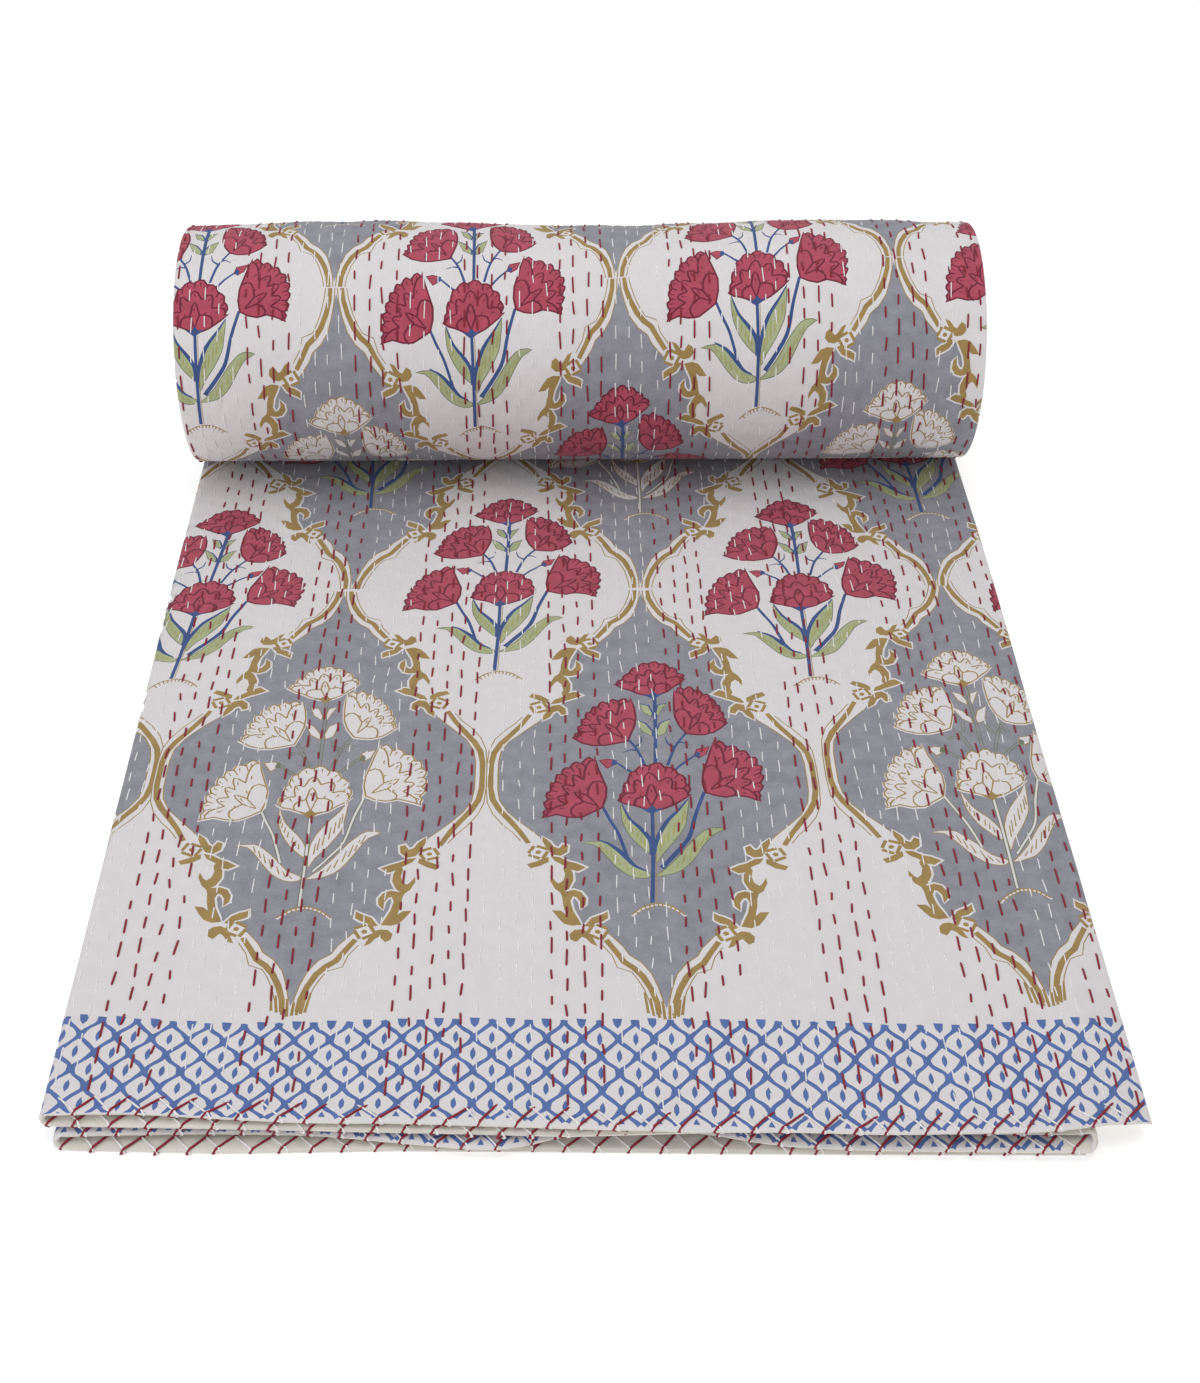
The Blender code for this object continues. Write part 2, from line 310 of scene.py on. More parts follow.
class Cloth:
    """Finds where a point of the flat quilt lies once it is folded and rolled.

    Flat places are given as across, from the top layer's free edge on the right through the three
    folds to the lowest layer's, and along, from the hems to the core of the roll.
    """

    def __init__(self, sizes):
        self.width = sizes.cloth_width
        self.length = sizes.cloth_length
        self.panel = sizes.cloth_width / 4
        self.row = self.panel / ROWS_A_PANEL
        self.thick = sizes.run_cloth
        self.line = ClothLine(self.length)

    def edges(self, layer, along, turn, side):
        """X of a layer's left (side 0) or right (side 1) edge. The inner turns end farther in."""
        at_hem, at_roll = LAYERS[layer][side], LAYERS[layer][side + 2]
        x = at_hem + (at_roll - at_hem) * eased(along / 0.62)
        wound = np.clip(turn, 0, 1)
        # 8.5 mm by the time it has gone round 6.6 times
        farther_in = 0.0085 * (turn / 6.6) ** 2
        fold = (layer + side) // 2
        loose = 0.0007 * np.sin(5.3 * turn + 1.7 * fold + side) * wound
        outwards = 2 * side - 1
        return x - farther_in * outwards + loose - 0.0006 * wound * outwards

    def flat_section(self, across, along, pitch, thick, turn):
        """X, height, both parts of the printed side's normal, and the hem shift."""
        panel = np.clip(np.floor(across / self.panel), 0, 3).astype(int)
        x = np.zeros_like(across)
        height = np.zeros_like(across)
        nx = np.zeros_like(across)
        nh = np.ones_like(across)
        shift = np.zeros_like(across)
        radius = pitch / 2
        inset = radius + thick / 2
        for layer in range(4):
            here = panel == layer
            if not here.any():
                continue
            q = across[here] - layer * self.panel
            left = self.edges(layer, along[here], turn[here], 0) + inset[here]
            right = self.edges(layer, along[here], turn[here], 1)
            free = layer in (0, 3)
            right = right if free else right - inset[here]
            start_right = layer % 2 == 0
            low_q = 0.0 if layer == 0 else FOLD_SPAN / 2
            high_q = self.panel if layer == 3 else self.panel - FOLD_SPAN / 2
            share = (q - low_q) / (high_q - low_q)
            start, end = (right, left) if start_right else (left, right)
            x[here] = start + (end - start) * share
            height[here] = (3 - layer) * pitch[here] + thick[here] / 2
            nh[here] = 1.0 if start_right else -1.0
            shift[here] = hem_setback(layer, x[here])
        for fold in (1, 2, 3):
            offset = across - fold * self.panel
            here = np.abs(offset) < FOLD_SPAN / 2
            if not here.any():
                continue
            angle = math.pi * (offset[here] / FOLD_SPAN + 0.5)
            side = 1.0 if fold == 2 else -1.0
            outer = self.edges(fold, along[here], turn[here], 1 if fold == 2 else 0)
            x[here] = outer - side * inset[here] + side * radius[here] * np.sin(angle)
            upper = (4 - fold) * pitch[here] + thick[here] / 2
            height[here] = upper - radius[here] + radius[here] * np.cos(angle)
            up = -1.0 if fold == 2 else 1.0
            nx[here] = up * side * np.sin(angle)
            nh[here] = up * np.cos(angle)
            share = angle / math.pi
            upper_hem, lower_hem = (hem_setback(k, x[here]) for k in (fold - 1, fold))
            shift[here] = (1 - share) * upper_hem + share * lower_hem
        return x, height, nx, nh, shift

    def thickness(self, pitch, v, across):
        """Thickness of the cloth: plump at the turned-in hems and rounded off at every free edge."""
        thick = np.minimum(self.thick, pitch - 0.00026)
        from_hem = np.minimum(v, self.length - v)
        plump = 1 + 0.16 * np.exp(-((from_hem / 0.006) ** 2)) * (pitch > 0.004)
        near = np.minimum(from_hem, np.minimum(across, self.width - across))
        rounded = np.sqrt(np.clip(1 - (1 - np.clip(near / 0.0018, 0, 1)) ** 2, 0.16, 1))
        return thick, thick * plump * rounded

    def relief(self, across, along):
        """How far the rows of stitches draw the face of the cloth in."""
        rows = (0.5 - 0.5 * np.cos(2 * math.pi * across / self.row)) ** 1.3
        number = np.floor(across / self.row)
        uneven = 0.8 + 0.2 * np.sin(2 * math.pi * (along / 0.23 + number * 0.37))
        return 0.00042 * rows * uneven

    def unevenness(self, across, x, along, turn, share):
        """How far the cloth rises off its even course.

        The run has waves that grow with the share of the stack below them, and its top layer's free
        edge droops at the right. The roll swells and ripples. Creases draw in the sides that show.
        """
        panel = np.clip(np.floor(across / self.panel), 0, 3)
        on_top = panel == 0
        round_x, round_along = 2 * math.pi * x, 2 * math.pi * along
        calm = np.clip((RUN_LENGTH - 0.06 - along) / 0.08, 0, 1)
        broad = np.cos(round_x / 0.31) * np.sin(round_along / 0.47)
        slant = np.sin(0.7 * round_x / 0.19 + round_along / 0.19)
        small = np.sin(round_x / 0.083 + round_along / 0.171) * np.sin(round_along / 0.127 + 9 * x)
        waves = (0.0008 * broad + 0.0003 * slant + 0.00035 * small) * share * calm
        droop = np.clip((x - 0.252) / 0.033, 0, 1) ** 1.6 * np.clip(1 - along / 0.55, 0, 1) ** 0.7
        aloft = np.sin(math.pi * turn) ** 2 * np.clip(wound_radius(turn) / ROLL_RADIUS, 0, 1)
        swell = np.cos(2 * math.pi * (x - SWELL_PEAK) / SWELL_WIDTH + SWELL_TWIST * turn)
        ripple = np.sin(round_x / 0.061 + 2 * math.pi * 1.3 * turn) * np.sin(9 * turn + 14 * x)
        seen = np.where(on_top, along < RUN_LENGTH, (panel == 3) & (turn > 0) & (turn < 1.02))
        drawn = np.where(seen, creases(x, along), 0.0) * np.where(on_top, 1.0, -1.0)
        return waves - 0.0058 * droop * on_top - aloft * (SWELL * swell + 0.0005 * ripple) - drawn

    def place(self, across, v, face):
        """Points of the printed side (face 1) or the back (face -1)."""
        across = np.asarray(across, float)
        v = np.asarray(v, float)
        pitch, turn = self.line.at(v)[4:]
        thick, _ = self.thickness(pitch, v, across)
        shift = self.flat_section(across, v, pitch, thick, turn)[4]
        along = v + shift * np.clip(1 - v / HEM_EASE, 0, 1)
        y, z, ny, nz, pitch, turn = self.line.at(along)
        thick, local = self.thickness(pitch, v, across)
        x, height, nx, nh, _ = self.flat_section(across, along, pitch, thick, turn)
        reach = face * local / 2 - face * self.relief(across, along) * (0.75 + 0.25 * face)
        share = height / (4 * pitch)
        rise = height + nh * reach + self.unevenness(across, x, along, turn, share)
        return np.stack([x + nx * reach, y + ny * rise + HEM_LINE, z + nz * rise], -1)

    def normals(self, across, v, face):
        """Unit normals of that side, pointing out of the cloth."""
        step = 0.0007
        wide = self.place(across + step, v, face) - self.place(across - step, v, face)
        long = self.place(across, v + step, face) - self.place(across, v - step, face)
        normal = -np.cross(wide, long) * face
        return normal / np.maximum(np.linalg.norm(normal, axis=-1, keepdims=True), 1e-12)


# ---------------------------------------------------------------------------------------------------
# The print, drawn in millimetres with each medallion standing on its lower tip at (0, 0)


def arc(start, bend, end, steps=8):
    """A curve from start to end that leans towards bend."""
    u = np.linspace(0, 1, steps + 1)[:, None]
    start, bend, end = (np.asarray(p, float) for p in (start, bend, end))
    return (1 - u) ** 2 * start + 2 * u * (1 - u) * bend + u**2 * end


def strip(points, widths):
    """The outline of a stroke along the points, of one width or of a width for each point."""
    pts = np.asarray(points, float)
    ahead = np.gradient(pts, axis=0)
    ahead /= np.maximum(np.linalg.norm(ahead, axis=1, keepdims=True), 1e-9)
    beside = np.stack([-ahead[:, 1], ahead[:, 0]], 1)
    half = np.broadcast_to(np.asarray(widths, float) / 2, (len(pts),))[:, None]
    return np.concatenate([pts + beside * half, (pts - beside * half)[::-1]])


def tapered(points, *widths):
    """A stroke whose width goes evenly through the given widths."""
    share = np.linspace(0, 1, len(points))
    return strip(points, np.interp(share, np.linspace(0, 1, len(widths)), widths))


def grown(points, reach):
    """A closed outline moved outwards, or inwards where reach is below nothing."""
    pts = np.asarray(points, float)
    ahead = np.roll(pts, -1, 0) - pts
    ahead /= np.maximum(np.linalg.norm(ahead, axis=1, keepdims=True), 1e-9)
    out = np.stack([ahead[:, 1], -ahead[:, 0]], 1)
    turned = np.sum(pts[:, 0] * np.roll(pts[:, 1], -1) - np.roll(pts[:, 0], -1) * pts[:, 1])
    out *= 1.0 if turned > 0 else -1.0
    both = out + np.roll(out, 1, 0)
    size = np.maximum(np.linalg.norm(both, axis=1, keepdims=True), 1.1)
    return pts + both / size * 2 / size * reach


# Each flower: its calyx, one side up to the first tip, the open edge from tip to tip, the other side
# back down. Carnations seen from the side, in the order in which they stand on the stem.
FLOWERS = (
    ((-1, 165), ((8, 168), (16, 174)), ((22.5, 181), (21, 194), (13, 206), (0.6, 212), (-12, 206), (-18, 192),
        (-20.7, 174.5)), ((-14, 171), (-7, 168))),
    ((-30, 168), ((-27.5, 185), (-33, 204)), ((-36.5, 217), (-46, 213.8), (-56, 205), (-63, 189), (-66, 173),
        (-65, 158.5)), ((-57, 161), (-45, 158))),
    ((31, 183), ((29, 197), (32, 212)), ((37.5, 232), (46, 229.5), (57, 223), (66, 210), (67.5, 195),
        (63.5, 175.5)), ((54, 180.5), (42, 178))),
    ((-16, 233), ((-11.5, 250), (-11.5, 264)), ((-15.5, 276), (-26, 276.5), (-36, 272), (-43.5, 262),
        (-47.5, 250), (-49.8, 236)), ((-42, 229.5), (-30, 228.5))),
    ((20, 240), ((14, 251), (12, 264)), ((13, 284.5), (22, 288.5), (31, 283), (38.5, 275), (44, 262),
        (45.5, 250)), ((39, 241.5), (30, 238))),
    ((-1, 278), ((6, 281), (12, 287)), ((20, 297), (15.5, 306), (8, 313), (-1, 316.5), (-11, 313), (-19, 303),
        (-25, 291)), ((-15.5, 284.5), (-8, 280))),
)
# A flower's open edge: how many lobes it has, and the points of a lobe, along it and outwards
LOBES = 8
LOBE = ((0.10, 0.955), (0.40, 1.015), (0.74, 1.005))
# The petals between the heart and the open edge meet here
PETAL_JOINTS = ((0.0, 0.95), (0.2, 0.60), (0.4, 0.60), (0.6, 0.60), (0.8, 0.60), (1.0, 0.95))
# Small strokes on the petals: share of the open edge, and share of the way from the heart to it
PETAL_STROKES = [((k + 0.5) / LOBES, 0.90) for k in range(LOBES)]
PETAL_STROKES += [((k + 0.5) / 5, 0.66) for k in range(5)] + [(0.24, 0.40), (0.5, 0.36), (0.76, 0.40)]
# Leaves: the edge away from the stem, from base to tip, then the edge beside the stem back to the base
BIG_LEAVES = (
    ((-1.5, 106.9), (-7, 105.4), (-15, 108.6), (-22.5, 117), (-29.6, 128.1), (-35, 134.4), (-42.5, 136.2),
        (-31, 138.0), (-24.8, 133.8), (-17.2, 125.4), (-9.5, 115), (-1.5, 110.6)),
    ((1.5, 107.6), (11, 109.3), (18, 113.6), (24.3, 122.3), (30.4, 135.3), (35.9, 144.6), (43, 149.6),
        (34.6, 151), (27.6, 145.4), (20.2, 134.3), (12.8, 121.3), (5.8, 112.5)),
)
INNER_LEAVES = (
    ((-1, 126.7), (-7.9, 133.6), (-13.6, 142), (-18.1, 153.5), (-19.3, 161.5), (-19.6, 173), (-14.8, 158.4),
        (-6.3, 147), (-1, 137)),
    ((2, 117.7), (5.9, 126.4), (12.6, 137.4), (18.9, 150.9), (20.4, 160.5), (21.5, 178), (16.2, 168),
        (7.8, 155.3), (1.4, 138.5)),
)
SMALL_LEAVES = (
    ((-0.8, 238.1), (-7.2, 242.8), (-12, 256.1), (-5.3, 251.4), (-0.8, 243.4)),
    ((2.2, 238.1), (7.4, 241), (10.5, 255.8), (3.7, 251.3), (1.4, 243.4)),
    ((-1.5, 257.6), (-6.9, 262.5), (-9.6, 271.8), (-3.8, 269.4), (-0.9, 262)),
    ((2, 257.6), (4.7, 264), (7.5, 271.6), (2.0, 269.3), (0.9, 262)),
)
# Strokes of the brush: width at both ends, then the way
STEMS = (
    (2.5, 2.3, ((0, 85.5), (0.2, 125), (-0.6, 166))),
    (2.2, 2.5, ((1, 210), (0.9, 245), (0.1, 280))),
    (2.2, 1.9, ((-14.4, 121.5), (-17.3, 133), (-21.2, 146.5), (-26.2, 158), (-30.5, 169))),
    (3.4, 2.2, ((5.2, 114.5), (12.4, 125.5), (20, 138.5), (23, 149), (25.5, 163), (31, 184))),
    (1.9, 1.6, ((-5.4, 209), (-10, 224), (-16.5, 236))),
    (1.9, 1.6, ((8.5, 209), (13, 227), (20, 241))),
    (1.9, 1.2, ((-13.5, 203), (-20, 209), (-25, 214))),
    (1.9, 1.3, ((12.5, 204), (19, 212), (26, 219.5))),
    (1.7, 0.5, ((-10, 223.9), (-14.5, 224.6), (-19.4, 222.2))),
    (1.6, 0.5, ((-11.6, 228), (-8.2, 232), (-7.7, 238.6))),
    (1.9, 0.5, ((14.5, 231.5), (18, 232), (22, 229.6))),
    (1.9, 0.5, ((13, 227.5), (8.8, 231), (7, 237.6))),
)
LEAF_STROKES = (
    (2.6, 2.8, 0.7, ((-0.6, 126), (-1.4, 138), (-5.9, 147), (-13.9, 158.2), (-19.2, 172.5))),
    (2.6, 2.8, 0.7, ((0.4, 126), (2.2, 138.5), (7.4, 154.5), (15.5, 167.4), (21.3, 177.4))),
    (0.9, 3.3, 1.0, ((-4, 112.4), (-10.4, 116.4), (-16.2, 124.6), (-23.5, 133.6), (-31.8, 139))),
)
# The green cup of the lowest and of the highest flower, from the flower's foot
CALYX = ((0, -2.2), (3.4, 0.4), (7.4, 4.2), (3.0, 2.8), (0.4, 6.2), (-2.8, 2.6), (-6.8, 3.4), (-3.0, 0.2))
# Buds: the outline, and the middle of the cup
BUDS = (
    (((-34, 214.4), (-28.7, 206), (-24.8, 209.4), (-24.4, 215.2), (-29, 216)), (-24.6, 212.6)),
    (((35, 227.6), (26.4, 225), (25, 219), (28, 216), (32.6, 219.6)), (27.2, 219.8)),
)
# One quarter of a medallion's band, from its lower tip to the left corner: a thick line with a thin one
# on both sides, first up to the lower knot and then from the upper knot on
LOWER_BAND = (
    ((-4.2, -1), (-5, 8), (-7.8, 18), (-12, 27.5), (-16.5, 33.6), (-22, 38.4), (-26, 46), (-31.5, 55.5)),
    ((-7.6, -1), (-8.8, 7), (-11.6, 17.5), (-15, 25.5), (-18, 30.6), (-25.8, 33.8), (-28.4, 43),
        (-33.5, 51.2)),
    ((-0.9, -1), (-1.6, 9), (-3.9, 20), (-7, 30), (-12.4, 38.4), (-19, 44), (-22, 50.5), (-29, 59.5)),
)
UPPER_BAND = (
    ((-75.4, 136), (-81, 147.5), (-87, 157.5), (-93.2, 167.5), (-97.2, 177), (-98.8, 188), (-98.9, 201)),
    ((-80, 138), (-85, 146), (-90.5, 152.5), (-97, 163), (-100.5, 174.3), (-101.4, 188), (-101.5, 201)),
    ((-69, 142.5), (-75.5, 150), (-81.5, 157), (-88, 165), (-93, 176), (-94.4, 187), (-94.5, 201)),
)
WAIST = ((-36, 62), (-43, 65), (-47.5, 71), (-51, 80), (-49, 92), (-51, 99), (-51.5, 110), (-54, 118),
         (-60, 125), (-66, 133), (-68.5, 141))
# The scrolls of leaves between the two knots
SCROLLS = (
    ((-66.9, 141.9), (-63.3, 137.7), (-60.8, 132.6), (-57.1, 130.8), (-54.8, 135), (-52.8, 134.1),
        (-53.2, 129.1), (-56.6, 125.8), (-61, 126.7), (-64.4, 132.6), (-66.4, 137.7)),
    ((-61.6, 124.2), (-57.7, 123.3), (-52.1, 119.9), (-47.7, 118.2), (-43, 115.3), (-46.6, 112.4),
        (-50.5, 113.8), (-54.4, 117.5), (-59.4, 120.8)),
    ((-53.3, 116.6), (-50.2, 110.8), (-49.8, 104.3), (-52.3, 97.9), (-56.2, 93.9), (-59.4, 97.2),
        (-62, 103.7), (-62.2, 107.7), (-60.2, 102.8), (-57.8, 100.4), (-54.5, 103.6), (-53.3, 109.2),
        (-54.4, 114.2)),
    ((-56.2, 93.9), (-52.3, 94.7), (-49, 95.4), (-45.2, 93.8), (-42.7, 89), (-43.1, 84.2), (-45.4, 80.3),
        (-45, 86.6), (-47.4, 90.6), (-50.2, 91.5), (-51.8, 86.7), (-50.3, 78.8), (-47.1, 71), (-45.5, 67.8),
        (-49.3, 69.4), (-53, 75.7), (-54.6, 83.6), (-55.1, 89.9)),
    ((-60.9, 78.6), (-56.8, 78.1), (-53, 74.2), (-49.3, 70.2), (-46.1, 67.5), (-50.4, 67.1), (-54.7, 68.8),
        (-57.9, 73.4)),
    ((-42.3, 67), (-39, 72.4), (-35.1, 74.7), (-31.9, 76.2), (-30.5, 77.7), (-30.6, 73.1), (-33.6, 70.8),
        (-37.4, 69.3), (-40.2, 66.2)),
    ((-51.3, 59.5), (-48.8, 62.5), (-45, 63.2), (-41.8, 61.6), (-39.3, 56.3), (-36.7, 50.9), (-39.3, 52.5),
        (-42.4, 57.1), (-45.1, 58.6), (-48.4, 54.1), (-50.7, 55.7)),
    ((-75.2, 117.2), (-70.5, 119.6), (-64.2, 123.2), (-64, 120.2), (-68.8, 116.6), (-73.8, 114.9)),
)
# Where the band's knots sit, and how far each is turned
KNOTS = ((-36, 62, 0.25), (-69.6, 128, 0.3))
# Brush strokes that end the band at the lower tip: from and to
TIP_STREAKS = (
    (-11.5, 15.2, -10, -0.5), (-8.5, 11, -7, -2), (-5.6, 8, -4, -3.4), (-2.2, 9, -1.2, -4.6), (2, 6, 1.3, -4),
    (5, 8, 3.8, -3.4), (7.8, 10.5, 6, -2.2), (10.3, 13.5, 8.2, -1),
)
# Height of a medallion from tip to tip
MEDALLION = 401.0
# The border's net: half the width and half the height of a mesh, and the height of its top row of seeds
MESH_HALF = 9.5
MESH_HALF_HEIGHT = 12.4
TOP_SEEDS = 73.4
# No shape comes closer to the sheet's edge than this, so the rim keeps its own points
RIM = 0.35


def mirrored(points, side, top):
    """Part of the lower left quarter of a medallion, moved to the right (side -1) or to the top."""
    pts = np.array(points, float)
    pts[:, 0] *= side
    if top:
        pts[:, 1] = MEDALLION - pts[:, 1]
    return pts


class Print:
    """Collects the printed shapes, in the order in which the blocks are put on the cloth."""

    def __init__(self, cloth, seed):
        self.shapes = []
        self.chance = random.Random(seed)
        self.width = cloth.width * 1000
        self.stations = fold_stations(cloth)

    def bent(self, flat):
        """The outline with a point wherever it crosses a station of a fold, so that it follows the bend."""
        out = []
        for start, end in zip(flat, np.roll(flat, -1, 0)):
            out.append(start)
            low, high = min(start[0], end[0]) + 0.1, max(start[0], end[0]) - 0.1
            cuts = self.stations[(self.stations > low) & (self.stations < high)]
            for cut in cuts if end[0] > start[0] else cuts[::-1]:
                out.append(start + (end - start) * (cut - start[0]) / (end[0] - start[0]))
        return np.array(out)

    def put(self, points, ink, to_cloth):
        """Puts a shape on the cloth, unless it lies off it or outside the part that shows."""
        flat = to_cloth(np.asarray(points, float))
        low, high = flat.min(0), flat.max(0)
        window = to_cloth.window
        if high[0] < window[0] or low[0] > window[1] or high[1] < window[2] or low[1] > window[3]:
            return
        flat[:, 0] = np.clip(flat[:, 0], max(window[0], RIM), min(window[1], self.width - RIM))
        flat[:, 1] = np.clip(flat[:, 1], max(window[2], RIM), window[3])
        self.shapes.append((self.bent(flat), ink))

    def carnation(self, flower, to_cloth, white):
        """One flower from the side: a lobed edge between two tips, and lines that part its petals."""
        fill, line = ("ground", "ochre") if white else ("crimson", "madder")
        calyx, side, dome, back = (np.asarray(part, float) for part in flower)
        rim = curve(np.concatenate([[calyx], side, dome, back, [calyx]]), steps=8)
        size = np.linalg.norm(np.diff(rim, axis=0), axis=1)
        run = np.concatenate([[0], np.cumsum(size)])
        run /= run[-1]
        first = run[8 * (1 + len(side))]
        last = run[8 * (len(side) + len(dome))]
        heart = calyx + 0.08 * (dome[len(dome) // 2] - calyx)

        def at(place, reach):
            edge = np.array([np.interp(place, run, rim[:, 0]), np.interp(place, run, rim[:, 1])])
            return heart + (edge - heart) * reach

        def open_edge(share):
            return first + (last - first) * share

        # The open edge ends in two tips that stand out
        outline = [at(place, 1.0) for place in np.linspace(0, first, 6)[:-1]] + [at(first, 1.06)]
        for k in range(LOBES):
            for u, reach in LOBE:
                grow = self.chance.uniform(-0.008, 0.008)
                outline.append(at(open_edge((k + u) / LOBES), reach + grow))
        outline += [at(last, 1.06)] + [at(place, 1.0) for place in np.linspace(last, 1, 6)[1:]]
        outline = outline[:-1]
        wide = 1.0 if white else 1.4
        if white:
            self.put(grown(outline, 0.5) - np.array((0.1, 0.7)), fill, to_cloth)
        self.put(outline, line, to_cloth)
        self.put(grown(outline, -wide), fill, to_cloth)
        # Three petals round the heart and five between them and the open edge
        low, high = 0.5 * first, 1 - 0.5 * (1 - last)
        left, right = open_edge(0.36), open_edge(0.64)
        ways = [
            ((low, 0.95), (open_edge(0.10), 0.66), (left, 0.30)),
            ((left, 0.30), (open_edge(0.5), 0.78), (right, 0.30)),
            ((right, 0.30), (open_edge(0.90), 0.66), (high, 0.95)),
        ]
        for (a, near), (b, far) in zip(PETAL_JOINTS, PETAL_JOINTS[1:]):
            top = 0.98 + self.chance.uniform(-0.04, 0.04)
            bend = (open_edge((a + b) / 2 + self.chance.uniform(-0.03, 0.03)), top)
            ways.append(((open_edge(a), near), bend, (open_edge(b), far)))
        for start, bend, end in ways:
            self.put(tapered(arc(at(*start), at(*bend), at(*end), 4), wide, wide * 1.1, wide), line, to_cloth)
        # The heart's two lines, short lines between the lobes, and small strokes on the petals
        for share, foot in ((0.36, 0.43), (0.64, 0.57)):
            way = np.array([at(open_edge(share), 0.33), at(open_edge(foot), 0.04)])
            self.put(tapered(way, wide, wide * 0.8), line, to_cloth)
        for k in range(1, LOBES):
            share = k / LOBES
            lean = self.chance.uniform(-0.02, 0.02)
            way = np.array([at(open_edge(share), 0.97), at(open_edge(share + lean), 0.82)])
            self.put(tapered(way, wide, wide * 0.7), line, to_cloth)
        for share, reach in PETAL_STROKES:
            place = open_edge(share + self.chance.uniform(-0.012, 0.012))
            self.stroke(heart, at(place, reach), 2.3, line, to_cloth)

    def stroke(self, heart, at, half, line, to_cloth):
        """A small pointed stroke on a petal, that points away from the flower's heart."""
        out = at - heart
        out /= max(np.linalg.norm(out), 1e-6)
        beside = np.array([-out[1], out[0]])
        turn = self.chance.uniform(-0.35, 0.35)
        out, beside = out + turn * beside, beside - turn * out
        shape = [at - out * half, at + beside * 0.75 + out * half * 0.5, at + out * half - beside * 0.45]
        self.put(shape, line, to_cloth)

    def leaf(self, edge, to_cloth, white, steps):
        """A leaf with a thin line round it and a row of small strokes along its middle."""
        rim, fill, mark = ("ochre", "ground", "ochre") if white else ("olive", "sage", "moss")
        outline = curve(edge, closed=True, steps=steps)
        self.put(grown(outline, 0.15), rim, to_cloth)
        self.put(grown(outline, -0.5), fill, to_cloth)
        if steps < 2:
            return
        tip = (len(edge) + 1) // 2
        u = np.linspace(0, 1, 40)
        first, second = (
            np.stack([np.interp(u, np.linspace(0, 1, len(side)), [p[k] for p in side]) for k in (0, 1)], 1)
            for side in (edge[:tip], edge[tip:][::-1])
        )
        for share in (0.16, 0.27, 0.38, 0.49, 0.60, 0.71, 0.82):
            k = int(share * 39)
            low, high = first[k] * 0.72 + second[k] * 0.28, first[k] * 0.34 + second[k] * 0.66
            ahead = (first[min(k + 3, 39)] - first[k - 3]) * 0.22
            self.put(tapered(np.array([low, high + ahead]), 0.9, 0.6), mark, to_cloth)

    def stem(self, way, start, end, to_cloth, white):
        """A stem: one stroke of the brush, or on a white flower two thin lines."""
        if not white:
            self.put(tapered(way, start, end), "indigo", to_cloth)
            return
        both = strip(way, 1.9)
        self.put(both, "ground" if way[0][1] < 165 else "slate", to_cloth)
        for line in (both[: len(way)], both[len(way) :]):
            self.put(strip(line, 0.6), "olive", to_cloth)

    def bouquet(self, to_cloth, white):
        """Six carnations with their stems, leaves, buds and the patch of ground below them."""
        for edge in BIG_LEAVES + INNER_LEAVES:
            self.leaf(edge, to_cloth, white, 2)
        for start, end, way in STEMS:
            self.stem(curve(way, steps=3), start, end, to_cloth, white)
        if not white:
            self.put(strip(np.array([(2.1, 86), (2.0, 125), (1.5, 164)]), 0.5), "ochre", to_cloth)
            for start, middle, end, way in LEAF_STROKES:
                self.put(tapered(curve(way, steps=3), start, middle, end), "indigo", to_cloth)
        for edge in SMALL_LEAVES:
            self.leaf(edge, to_cloth, white, 1)
            if not white:
                way = curve((edge[0], edge[4], edge[3], edge[2]), steps=1)
                self.put(tapered(way, 1.0, 1.3, 0.6), "indigo", to_cloth)
        for edge, (x, y) in BUDS:
            self.put(edge, "ochre" if white else "madder", to_cloth)
            self.put(grown(edge, -0.7), "ground" if white else "crimson", to_cloth)
            shape = [(x - 1.9, y - 2.4), (x + 1.4, y - 2.8), (x + 1.9, y + 1.6), (x - 0.6, y + 3.0)]
            self.put(shape, "olive" if white else "indigo", to_cloth)
        for number, flower in enumerate(FLOWERS):
            self.carnation(flower, to_cloth, white)
            if number in (0, 5):
                x, y = flower[0]
                cup = np.array((x, y)) + CALYX
                self.put(cup, "ochre" if white else "indigo", to_cloth)
        ground = arc((-12, 75), (3.5, 94), (18.5, 76), 12)
        if to_cloth.on_slate:
            self.put(strip(ground + np.array((0.2, -0.9)), 1.7), "ground", to_cloth)
        self.put(strip(ground, 0.9), "ochre", to_cloth)
        for k in range(1, 12):
            at = ground[k]
            out = at - np.array((3.5, 60.0))
            out /= np.linalg.norm(out)
            self.put(tapered(np.array([at, at - out * 3.2]), 1.0, 0.7), "ochre", to_cloth)

    def band(self, to_cloth, tip_streaks):
        """The band round a grey medallion, one quarter after the other, with its leaf scrolls and knots."""
        quarters = [(side, top) for side in (1, -1) for top in (False, True)]
        for quarter in quarters:
            under = [outer + inner[::-1] for _, outer, inner in (LOWER_BAND, UPPER_BAND)]
            under += [grown(scroll, 1.9) for scroll in SCROLLS]
            under.append(strip(np.array(WAIST, float) - np.array((2.0, 0)), 3.0))
            for points in under:
                self.put(mirrored(points, *quarter), "ground", to_cloth)
        for quarter in quarters:
            lines = []
            for thick, outer, inner in (LOWER_BAND, UPPER_BAND):
                lines += [strip(outer, 0.65), strip(inner, 0.7), tapered(thick, 3.0, 3.6, 3.9, 3.7, 3.3)]
            for points in lines + [grown(scroll, 0.65) for scroll in SCROLLS]:
                self.put(mirrored(points, *quarter), "ochre", to_cloth)
            for x, y, turn in KNOTS:
                self.knot(quarter, np.array((x, y), float), turn, to_cloth)
        if tip_streaks:
            for x0, y0, x1, y1 in TIP_STREAKS:
                self.put(tapered([(x0, y0), (x1, y1)], 1.2, 1.7), "ochre", to_cloth)

    def knot(self, quarter, middle, turn, to_cloth):
        """A dot between four short bars, where two parts of the band meet."""

